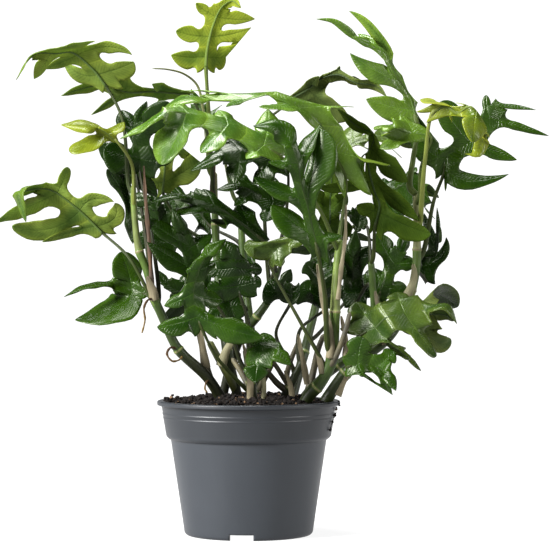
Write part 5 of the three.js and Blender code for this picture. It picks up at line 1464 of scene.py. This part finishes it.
SHEATHS = (
    StripPlan(((153, 298, -36), (151, 270, -38.5), (149, 240, -40), (146, 205, -41), (144, 166, -41)),
        1.5, 1.5, Paper.BROWN),
    StripPlan(((155, 300, -34), (153, 292, -35), (150, 284, -36), (147, 276, -37)), 3.7, 1.4),
    StripPlan(((212, 196, 37), (213, 180, 37), (215, 160, 37)), 2.6, 1.0, Paper.BROWN),
    StripPlan(((330, 358, -45), (331, 345, -46), (325, 310, -47), (317, 264, -49)), 3.6),
    StripPlan(((345, 356, -46), (346, 340, -46), (343, 326, -46), (341, 316, -46)), 2.0, 1.3),
    StripPlan(((338, 300, -46), (341, 270, -46), (345, 240, -46), (346, 205, -46)), 1.7),
    StripPlan(((402, 308, -11), (408, 294, -10), (414, 278, -9), (413, 264, -9)), 4.4, 1.2, Paper.CREAM),
    StripPlan(((386, 345, -20), (384, 330, -18), (379, 312, -14), (375, 292, -10)), 3.2),
    StripPlan(((307, 384, -22), (304, 366, -24), (300, 346, -26), (298, 334, -27)), 2.6),
    StripPlan(((206, 368, -9), (203, 350, -9), (200, 330, -9)), 3.9),
    StripPlan(((221, 366, -2), (227, 350, -4), (238, 333, -6)), 4.4, 1.2, Paper.CREAM),
    StripPlan(((322, 374, -42), (320, 362, -41), (316, 350, -40)), 2.6),
    StripPlan(((250, 402, -34), (250, 380, -38), (247, 358, -40), (243, 344, -40)), 3.4, 1.0),
    StripPlan(((262, 408, -24), (264, 390, -26), (262, 372, -26), (258, 360, -26)),
        2.4, 1.2, Paper.CREAM),
    StripPlan(((293, 404, -16), (290, 384, -18), (284, 370, -22)), 2.4),
    StripPlan(((338, 396, -32), (344, 382, -31), (350, 370, -29)), 3.0, 1.0),
)


# Finishes

class Coat:
    """A material in the making, with a short call for each kind of node that the finishes share."""

    def __init__(self, name: str) -> None:
        """Makes an empty material, named for its real finish."""
        self.material = bpy.data.materials.new(name)
        self.material.use_nodes = True
        self.tree = self.material.node_tree
        self.tree.nodes.clear()
        self.output = add_node(self.tree, "OutputMaterial")

    def uv(self, title: str) -> Any:
        """Gives a mesh's own coordinates: pattern, in millimetres, or shade, in shares."""
        return add_node(self.tree, "UVMap", {"uv_map": title}).outputs["UV"]

    def place(self) -> Any:
        """Gives the place on the object, in metres."""
        return add_node(self.tree, "TexCoord").outputs["Object"]

    def parts(self, vector: Any) -> Any:
        """Splits a vector into outputs X, Y and Z."""
        return add_node(self.tree, "SeparateXYZ", Vector=vector).outputs

    def noise(self, vector: Any, scale: float, detail: float, roughness: float = 0.5) -> Any:
        """Gives cloudy noise between 0 and 1, with its scale in blobs to a metre."""
        inputs = {"Vector": vector, "Scale": scale, "Detail": detail, "Roughness": roughness}
        return add_node(self.tree, "TexNoise", **inputs).outputs["Fac"]

    def stretched(self, vector: Any, x: float, y: float, z: float, detail: float) -> Any:
        """Gives noise that is drawn out along one direction."""
        mapped = add_node(self.tree, "Mapping", Vector=vector, Scale=(x, y, z)).outputs[0]
        return self.noise(mapped, 1.0, detail)

    def math(self, operation: str, *values: Any) -> Any:
        """Works out one step of arithmetic."""
        inputs = {f"in{number}": value for number, value in enumerate(values)}
        return add_node(self.tree, "Math", {"operation": operation}, **inputs).outputs[0]

    def ramp(self, value: Any, low: float, high: float, bottom: float = 0.0, top: float = 1.0,
             smooth: bool = True) -> Any:
        """Goes from the bottom at one value to the top at another, smoothly or straight."""
        settings = {"interpolation_type": "SMOOTHSTEP" if smooth else "LINEAR"}
        return add_node(self.tree, "MapRange", settings, Value=value, From_Min=low, From_Max=high,
                        To_Min=bottom, To_Max=top).outputs[0]

    def mix(self, amount: Any, first: Any, second: Any, blend: str = "MIX") -> Any:
        """Mixes or multiplies two colours."""
        settings = {"data_type": "RGBA", "blend_type": blend}
        return add_node(self.tree, "Mix", settings, in0=amount, in6=first, in7=second).outputs[2]

    def bump(self, height: Any, strength: float, distance: float) -> Any:
        """Turns a height into a tilt of the surface, its distance in metres."""
        inputs = {"Strength": strength, "Distance": distance, "Height": height}
        return add_node(self.tree, "Bump", **inputs).outputs["Normal"]

    def body(self, **inputs: Any) -> Any:
        """Gives the main shader."""
        return add_node(self.tree, "BsdfPrincipled", **inputs).outputs[0]

    def finish(self, shader: Any, through: Any = None, share: float = 0.0) -> bpy.types.Material:
        """Puts the shader on the surface, with a share of light that passes through where asked."""
        if through is not None:
            thin = add_node(self.tree, "BsdfTranslucent", Color=through).outputs[0]
            shader = add_node(self.tree, "MixShader", in0=share, in1=shader, in2=thin).outputs[0]
        self.tree.links.new(shader, self.output.inputs["Surface"])
        return self.material


def tinted(base: Array, *shares: float) -> tuple[float, float, float, float]:
    """Scales a linear colour by a share for red, green and blue, or by one for all."""
    return (*(base * list(shares)), 1.0)


@dataclass(frozen=True)
class LeafFinish:
    """A living leaf: a waxy skin over thin green flesh that light shines through.

    The wax gives a soft whitish sheen above; the underside is dull. Side veins slant from each lobe's own
    vein towards its tip. Noise scales are in blobs to a metre and bump heights in metres.
    """

    tone: Tone
    vein_spacing: float = 3.1  # millimetres between two side veins
    vein_slant: float = -0.85
    vein_bend: float = 2.2
    bend_scale: float = 90.0
    drift_scale: float = 7.0
    patch_scale: float = 34.0
    hollow_scale: float = 62.0
    grain_scale: float = 420.0
    wax_roughness: float = 0.24
    under_roughness: float = 0.56
    under_gloss: float = 0.04
    stalk_ribs: int = 9
    stalk_patch_scale: float = 60.0
    stalk_edge: str = "#615630"

    def materials(self) -> list[bpy.types.Material]:
        """Gives the materials of upper face, lower face, stalk and midrib, made once for each tone."""
        name = "leaf_" + self.tone.name.lower()
        if name + "_upper" not in bpy.data.materials:
            upper, lower, stalk, _, gloss = self.tone.value
            self.skin(name + "_upper", upper, self.wax_roughness, gloss)
            self.skin(name + "_lower", lower, self.under_roughness, self.under_gloss)
            self.stalk(name + "_stalk", np.array(linear(stalk)[:3]))
            self.stalk(name + "_midrib", np.array(linear(lower)[:3]) * [0.45, 0.55, 0.5])
        return [bpy.data.materials[name + part] for part in ("_upper", "_lower", "_stalk", "_midrib")]

    def skin(self, name: str, colour: str, roughness: float, gloss: float) -> None:
        """Makes the material of one face of the blade.

        Veins are stripes of the millimetres along less the millimetres across, bent by noise. The colour
        drifts over the plant, has patches of a few centimetres and a fine mottle, and is darker in the
        side veins. Towards the rim it is painted paler and yellower, as painted light shining through the
        thin edge, and the very rim has a pale margin line. The relief arches each lobe between its vein and
        its rim.

        Args:
            name: the finish and its face.
            colour: the face's middle colour.
            roughness: the mean roughness.
            gloss: the strength of the sheen.
        """
        coat, base = Coat(name), np.array(linear(colour)[:3])
        above = name.endswith("upper")
        pattern, shade = coat.parts(coat.uv("pattern")), coat.parts(coat.uv("shade"))
        place, rim = coat.place(), shade["X"]
        across = coat.math("ABSOLUTE", pattern["X"])
        slant = coat.math("MULTIPLY_ADD", across, self.vein_slant, pattern["Y"])
        bent = coat.math("MULTIPLY_ADD", coat.noise(place, self.bend_scale, 1.0), self.vein_bend, slant)
        wave = coat.math("SINE", coat.math("MULTIPLY", bent, 6.283 / self.vein_spacing))
        vein = coat.ramp(wave, 0.35, 1.0)
        fade = coat.ramp(shade["Y"], 1.0, 0.5, smooth=False)
        main = coat.math("MULTIPLY", coat.ramp(across, 0.7, 0.2), fade)
        fine = coat.noise(place, self.grain_scale, 3.0)
        patches = coat.ramp(coat.noise(place, self.patch_scale, 3.0), 0.36, 0.66)
        drift = coat.ramp(coat.noise(place, self.drift_scale, 1.0), 0.42, 0.62, top=0.45)
        look = coat.mix(patches, tinted(base, 0.5, 0.6, 0.5), tinted(base, 1.45, 1.3, 1.1))
        look = coat.mix(drift, look, tinted(base, 1.5, 1.15, 0.8))
        # painted light: the colour grows paler and yellower towards the rim, for light shining through the
        # thin edge
        look = coat.mix(coat.ramp(rim, 0.35, 1.0, top=0.5), look, tinted(base, 1.75, 1.4, 0.9))
        side_veins = (0.42, 0.5, 0.42) if above else (0.4, 0.45, 0.35)
        look = coat.mix(coat.math("MULTIPLY", vein, 0.3), look, tinted(base, *side_veins))
        look = coat.mix(0.45, look, coat.ramp(fine, 0.0, 1.0, 0.6, 1.4, smooth=False), "MULTIPLY")
        main_vein = (2.0, 1.9, 1.2) if above else (0.35, 0.42, 0.35)
        look = coat.mix(coat.math("MULTIPLY", main, 0.4), look, tinted(base, *main_vein))
        look = coat.mix(coat.ramp(rim, 0.94, 1.0, top=0.5), look, tinted(base, 2.6, 2.0, 1.4))
        arch = coat.math("MULTIPLY", rim, coat.math("MULTIPLY_ADD", rim, -4.8, 3.6))
        height = coat.math("MULTIPLY_ADD", vein, -0.35, coat.math("MULTIPLY", main, -0.8))
        height = coat.math("MULTIPLY_ADD", coat.noise(place, self.hollow_scale, 1.0), 6.0, height)
        bump = coat.bump(coat.math("ADD", arch, height), 0.6, 0.0006)
        dull = coat.ramp(fine, 0.0, 1.0, roughness - 0.06, roughness + 0.1, smooth=False)
        body = coat.body(Base_Color=look, Roughness=dull, IOR=1.45, Specular_IOR_Level=gloss,
                         Specular_Tint=(0.95, 1.0, 0.8, 1.0), Normal=bump)
        coat.finish(body, coat.mix(1.0, look, (2.2, 2.5, 1.3, 1), "MULTIPLY"), self.tone.value[3])

    def stalk(self, name: str, base: Array) -> None:
        """Makes the material of stalk and midrib: satin green, grooved lengthwise, with tan edges.

        Args:
            name: the finish.
            base: its linear colour.
        """
        coat = Coat(name)
        turn = coat.parts(coat.uv("pattern"))["X"]
        groove = coat.math("SINE", coat.math("MULTIPLY", turn, 6.283 * self.stalk_ribs))
        patch = coat.noise(coat.place(), self.stalk_patch_scale, 3.0)
        look = coat.mix(patch, tinted(base, 0.5, 0.55, 0.5), tinted(base, 1.6, 1.35, 1.5))
        look = coat.mix(coat.ramp(groove, 0.6, 1.0, top=0.08), look, linear(self.stalk_edge))
        coat.finish(coat.body(Base_Color=look, Roughness=0.5, Specular_IOR_Level=0.1,
                              Normal=coat.bump(groove, 0.4, 0.0003)))


@dataclass(frozen=True)
class BarkFinish:
    """The skin of a climbing stem: smooth green, darker and browner low down, with tan ring scars. The
    browner foot is the old stem's own colour; its near black, and that of the stems inside the plant, is
    painted shade.
    """

    # partly painted shade: near black for the foot of the stems and for the stems inside the plant
    low: str = "#100e07"
    green: str = "#2b3b15"
    fresh: str = "#41511e"
    papery: str = "#5e613c"
    scar: str = "#57503a"
    patch_scale: float = 70.0

    def material(self) -> bpy.types.Material:
        """Makes the material: a ramp over the stem's mark, under patches and lengthwise streaks."""
        coat = Coat("green_stem_bark")
        ramp = add_node(coat.tree, "ValToRGB", Fac=coat.parts(coat.uv("shade"))["Y"])
        stops = ramp.color_ramp.elements
        stops[0].color, stops[1].color = linear(self.low), linear(self.scar)
        for where, colour in ((0.3, self.green), (0.6, self.fresh), (0.82, self.papery)):
            stops.new(where).color = linear(colour)
        streak = coat.stretched(coat.uv("pattern"), 46.0, 0.12, 1.0, 3.0)
        both = coat.math("MULTIPLY", streak, coat.noise(coat.place(), self.patch_scale, 4.0))
        light = coat.ramp(both, 0.1, 0.42, 0.55, 1.35, smooth=False)
        look = coat.mix(1.0, ramp.outputs["Color"], light, "MULTIPLY")
        return coat.finish(coat.body(Base_Color=look, Roughness=0.42, Specular_IOR_Level=0.14,
                                     Normal=coat.bump(streak, 0.5, 0.0004)))


@dataclass(frozen=True)
class RootFinish:
    """An aerial root: dull brown, rough, a little paler at its growing tip."""

    old: str = "#2b1b0a"
    tip: str = "#544321"
    grain_scale: float = 700.0

    def material(self) -> bpy.types.Material:
        """Makes the material."""
        coat = Coat("brown_aerial_root")
        grain = coat.noise(coat.place(), self.grain_scale, 3.0)
        age = coat.ramp(coat.parts(coat.uv("shade"))["Y"], 0.35, 1.0, smooth=False)
        light = coat.ramp(grain, 0.0, 1.0, 0.5, 1.5, smooth=False)
        look = coat.mix(1.0, coat.mix(age, linear(self.old), linear(self.tip)), light, "MULTIPLY")
        return coat.finish(coat.body(Base_Color=look, Roughness=0.8, Specular_IOR_Level=0.15,
                                     Normal=coat.bump(grain, 0.8, 0.0004)))


@dataclass(frozen=True)
class PaperFinish:
    """A dry leaf sheath: paper with lengthwise fibres, dull, thin enough to glow."""

    name: str
    light: str
    dark: str
    roughness: float = 0.75
    through: float = 0.25
    stain_scale: float = 60.0

    def material(self) -> bpy.types.Material:
        """Makes the material: fibres half a millimetre apart over broad stains."""
        coat = Coat(self.name)
        fibre = coat.stretched(coat.uv("pattern"), 2.2, 0.09, 1.0, 4.0)
        both = coat.math("MULTIPLY_ADD", fibre, 0.7, coat.noise(coat.place(), self.stain_scale, 2.0))
        look = coat.mix(coat.ramp(both, 0.6, 1.1, smooth=False), linear(self.dark), linear(self.light))
        body = coat.body(Base_Color=look, Roughness=self.roughness, Normal=coat.bump(fibre, 0.7, 0.0003))
        return coat.finish(body, look, self.through)


@dataclass(frozen=True)
class PotFinish:
    """Grey polypropylene, injection moulded: satin, with a fine grain, faint flow marks and scuffs.

    The band below the lip is darker than the body: painted shade, for the shadow that the foliage and the
    lip cast on it.
    """

    grey: str = "#23262a"
    dust: str = "#414445"
    band_bottom: float = 0.086
    band_top: float = 0.094
    # painted shade: the band's colour as a share of the body's
    band_shade: float = 0.62

    def material(self) -> bpy.types.Material:
        """Makes the material: a grain of 0.4 mm, drawn coarser than the real one so that it shows."""
        coat, base = Coat("grey_polypropylene"), np.array(linear(self.grey)[:3])
        place = coat.place()
        flow = coat.stretched(place, 240.0, 240.0, 12.0, 2.0)
        both = coat.math("MULTIPLY_ADD", flow, 0.35, coat.noise(place, 22.0, 3.0))
        amount = coat.ramp(both, 0.4, 1.0, smooth=False)
        look = coat.mix(amount, tinted(base, 0.93), tinted(base, 1.07))
        height = coat.parts(place)["Z"]
        # painted shade: the band is darkened for the shadow of the foliage and the lip above it
        painted_band_shade = coat.ramp(height, self.band_bottom, self.band_top, 1.0, self.band_shade, False)
        look = coat.mix(1.0, look, painted_band_shade, "MULTIPLY")
        speck = coat.ramp(coat.noise(place, 160.0, 5.0, 0.7), 0.66, 0.8, top=0.3)
        look = coat.mix(speck, look, linear(self.dust))
        dull = coat.ramp(both, 0.4, 1.0, 0.4, 0.5, smooth=False)
        bump = coat.bump(coat.noise(place, 2500.0, 1.0), 0.25, 0.0001)
        return coat.finish(coat.body(Base_Color=look, Roughness=dull, IOR=1.49, Specular_IOR_Level=0.27,
                                     Normal=bump))


@dataclass(frozen=True)
class PeatFinish:
    """Damp peat compost: near black, with red-brown fibres and a few pale bits. The near black is partly
    the damp peat's own colour and partly painted shade under the foliage.
    """

    # partly painted shade: near black stands for damp peat in the shade of the foliage
    dark: str = "#030202"
    brown: str = "#100904"
    bit: str = "#54412f"

    def material(self) -> bpy.types.Material:
        """Makes the material: patches of crumb size and grains of half a millimetre."""
        coat = Coat("damp_peat")
        place = coat.place()
        crumb = coat.noise(place, 380.0, 4.0, 0.65)
        bits = add_node(coat.tree, "TexVoronoi", Vector=place, Scale=420.0).outputs["Color"]
        amount = coat.ramp(crumb, 0.35, 0.72, smooth=False)
        rare = coat.ramp(coat.parts(bits)["X"], 0.955, 0.97, smooth=False)
        look = coat.mix(rare, coat.mix(amount, linear(self.dark), linear(self.brown)), linear(self.bit))
        return coat.finish(coat.body(Base_Color=look, Roughness=0.9, Specular_IOR_Level=0.15,
                                     Normal=coat.bump(crumb, 1.0, 0.0012)))


# Stage

@dataclass(frozen=True)
class Studio:
    """A plain pale floor that curves up into a round wall, soft lights and the camera of the front view."""

    floor_radius: float = 3.2
    bend_radius: float = 1.2
    wall_height: float = 1.35
    wall_glow: float = 1.0
    floor_glow: float = 0.86
    under_pot: float = 0.0031  # squared metres from the axis
    paint: str = "#585858"
    sky_strength: float = 0.04
    sensor: float = 36.0
    picture_width: int = 550

    def build(self) -> None:
        """Makes floor, lights, sky and camera."""
        self.floor()
        self.light("key_left", (-1.75, -1.15, 1.15), (0.0, 0.0, 0.27), (0.6, 0.9), 290)
        self.light("fill_right", (1.9, -0.7, 0.9), (0.0, 0.0, 0.25), (0.5, 1.0), 46)
        self.light("top_soft", (-0.3, 0.1, 1.9), (0.0, 0.0, 0.3), (0.9, 0.9), 128)
        world = bpy.data.worlds.new("pale_sky")
        world.use_nodes = True
        background = world.node_tree.nodes["Background"]
        background.inputs["Color"].default_value = (1, 1, 1, 1)
        background.inputs["Strength"].default_value = self.sky_strength
        scene = bpy.context.scene
        scene.world = world
        scene.view_settings.view_transform = "Standard"
        camera = bpy.data.cameras.new("front_camera")
        camera.sensor_width = self.sensor
        reach = -VIEW.eye[1]
        camera.lens = self.sensor * reach / (VIEW.mm_per_pixel * self.picture_width)
        camera.clip_start, camera.clip_end = 0.05, 40
        eye = bpy.data.objects.new("front_camera", camera)
        eye.location = [v * METRE for v in VIEW.eye]
        eye.rotation_euler = (np.pi / 2, 0, 0)
        scene.collection.objects.link(eye)
        scene.camera = eye

    def floor(self) -> None:
        """Makes the floor: a flat disc, a quarter circle up and a straight wall, turned about the axis."""
        bend = np.linspace(0, np.pi / 2, 16)
        radius = np.concatenate([[0, 0.4, 1.2, 2.2], self.floor_radius + self.bend_radius * np.sin(bend),
                                 [self.floor_radius + self.bend_radius]])
        height = np.concatenate([np.zeros(4), self.bend_radius * (1 - np.cos(bend)), [self.wall_height]])
        turn = np.linspace(0, 2 * np.pi, 129)[None]
        grid = np.stack(np.broadcast_arrays(radius[:, None] * np.cos(turn), radius[:, None] * np.sin(turn),
                                            height[:, None]), axis=-1) / METRE
        skin = Skin()
        plain = np.zeros(grid.shape[:2] + (2,))
        skin.add_grid(grid, plain, plain, 0, turned=True)
        skin.build("studio_floor", [self.paper()])

    def paper(self) -> bpy.types.Material:
        """Makes the lit white paper of floor and wall.

        It glows more with the squared distance from the axis, so that the wall is white while the floor
        near the pot keeps its shadow. Under the pot it glows too, which shows through the notches.
        """
        coat = Coat("lit_white_paper")
        place = coat.parts(coat.place())
        away = coat.math("ADD", *(coat.math("MULTIPLY", place[axis], place[axis]) for axis in "XY"))
        far = coat.ramp(away, 0.1, 2.5, self.floor_glow, self.wall_glow, smooth=False)
        strength = coat.math("MAXIMUM", far, coat.math("LESS_THAN", away, self.under_pot))
        return coat.finish(coat.body(Base_Color=linear(self.paint), Roughness=0.9,
                                     Emission_Color=(1, 1, 1, 1), Emission_Strength=strength))

    def light(self, name: str, place: tuple, target: tuple, size: tuple, power: float) -> None:
        """Hangs one soft box that looks at a point."""
        lamp = bpy.data.lights.new(name, "AREA")
        lamp.shape = "RECTANGLE"
        lamp.size, lamp.size_y = size
        lamp.energy = power
        holder = bpy.data.objects.new(name, lamp)
        holder.location = place
        holder.rotation_euler = (Vector(target) - Vector(place)).to_track_quat("-Z", "Y").to_euler()
        bpy.context.scene.collection.objects.link(holder)


# The whole

def write_sizes() -> None:
    """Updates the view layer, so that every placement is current."""
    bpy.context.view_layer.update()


def main() -> None:
    """Builds the plant and pot, dresses them and sets the stage."""
    logging.basicConfig(level=logging.INFO, format="%(message)s")
    Studio().build()
    bark, root = BarkFinish().material(), RootFinish().material()
    cut = PaperFinish("dry_cut_stalk", "#474126", "#151408", 0.7).material()
    fresh = PaperFinish("fresh_rolled_leaf", "#565b29", "#363c15", 0.45).material()
    papers = {kind: PaperFinish("dry_paper_" + kind.name.lower(), *kind.value).material() for kind in Paper}
    stems = {plan.letter: Stem(plan) for plan in STEMS}
    pieces = [stem.build(bark, root, fresh if letter == "b" else cut) for letter, stem in stems.items()]
    pieces += [Leaf(plan, stems[plan.stem]).build(LeafFinish(plan.tone)) for plan in LEAVES]
    pieces += [Sheath(plan).build(f"sheath_{number}", papers[plan.paper])
               for number, plan in enumerate(SHEATHS, 1)]
    pieces += [NurseryPot().build(PotFinish().material()), *Compost().build(PeatFinish().material())]
    for piece in pieces:
        LOG.info("%s: %d faces", piece.name, len(piece.data.polygons))
    write_sizes()


if __name__ == "__main__":
    main()
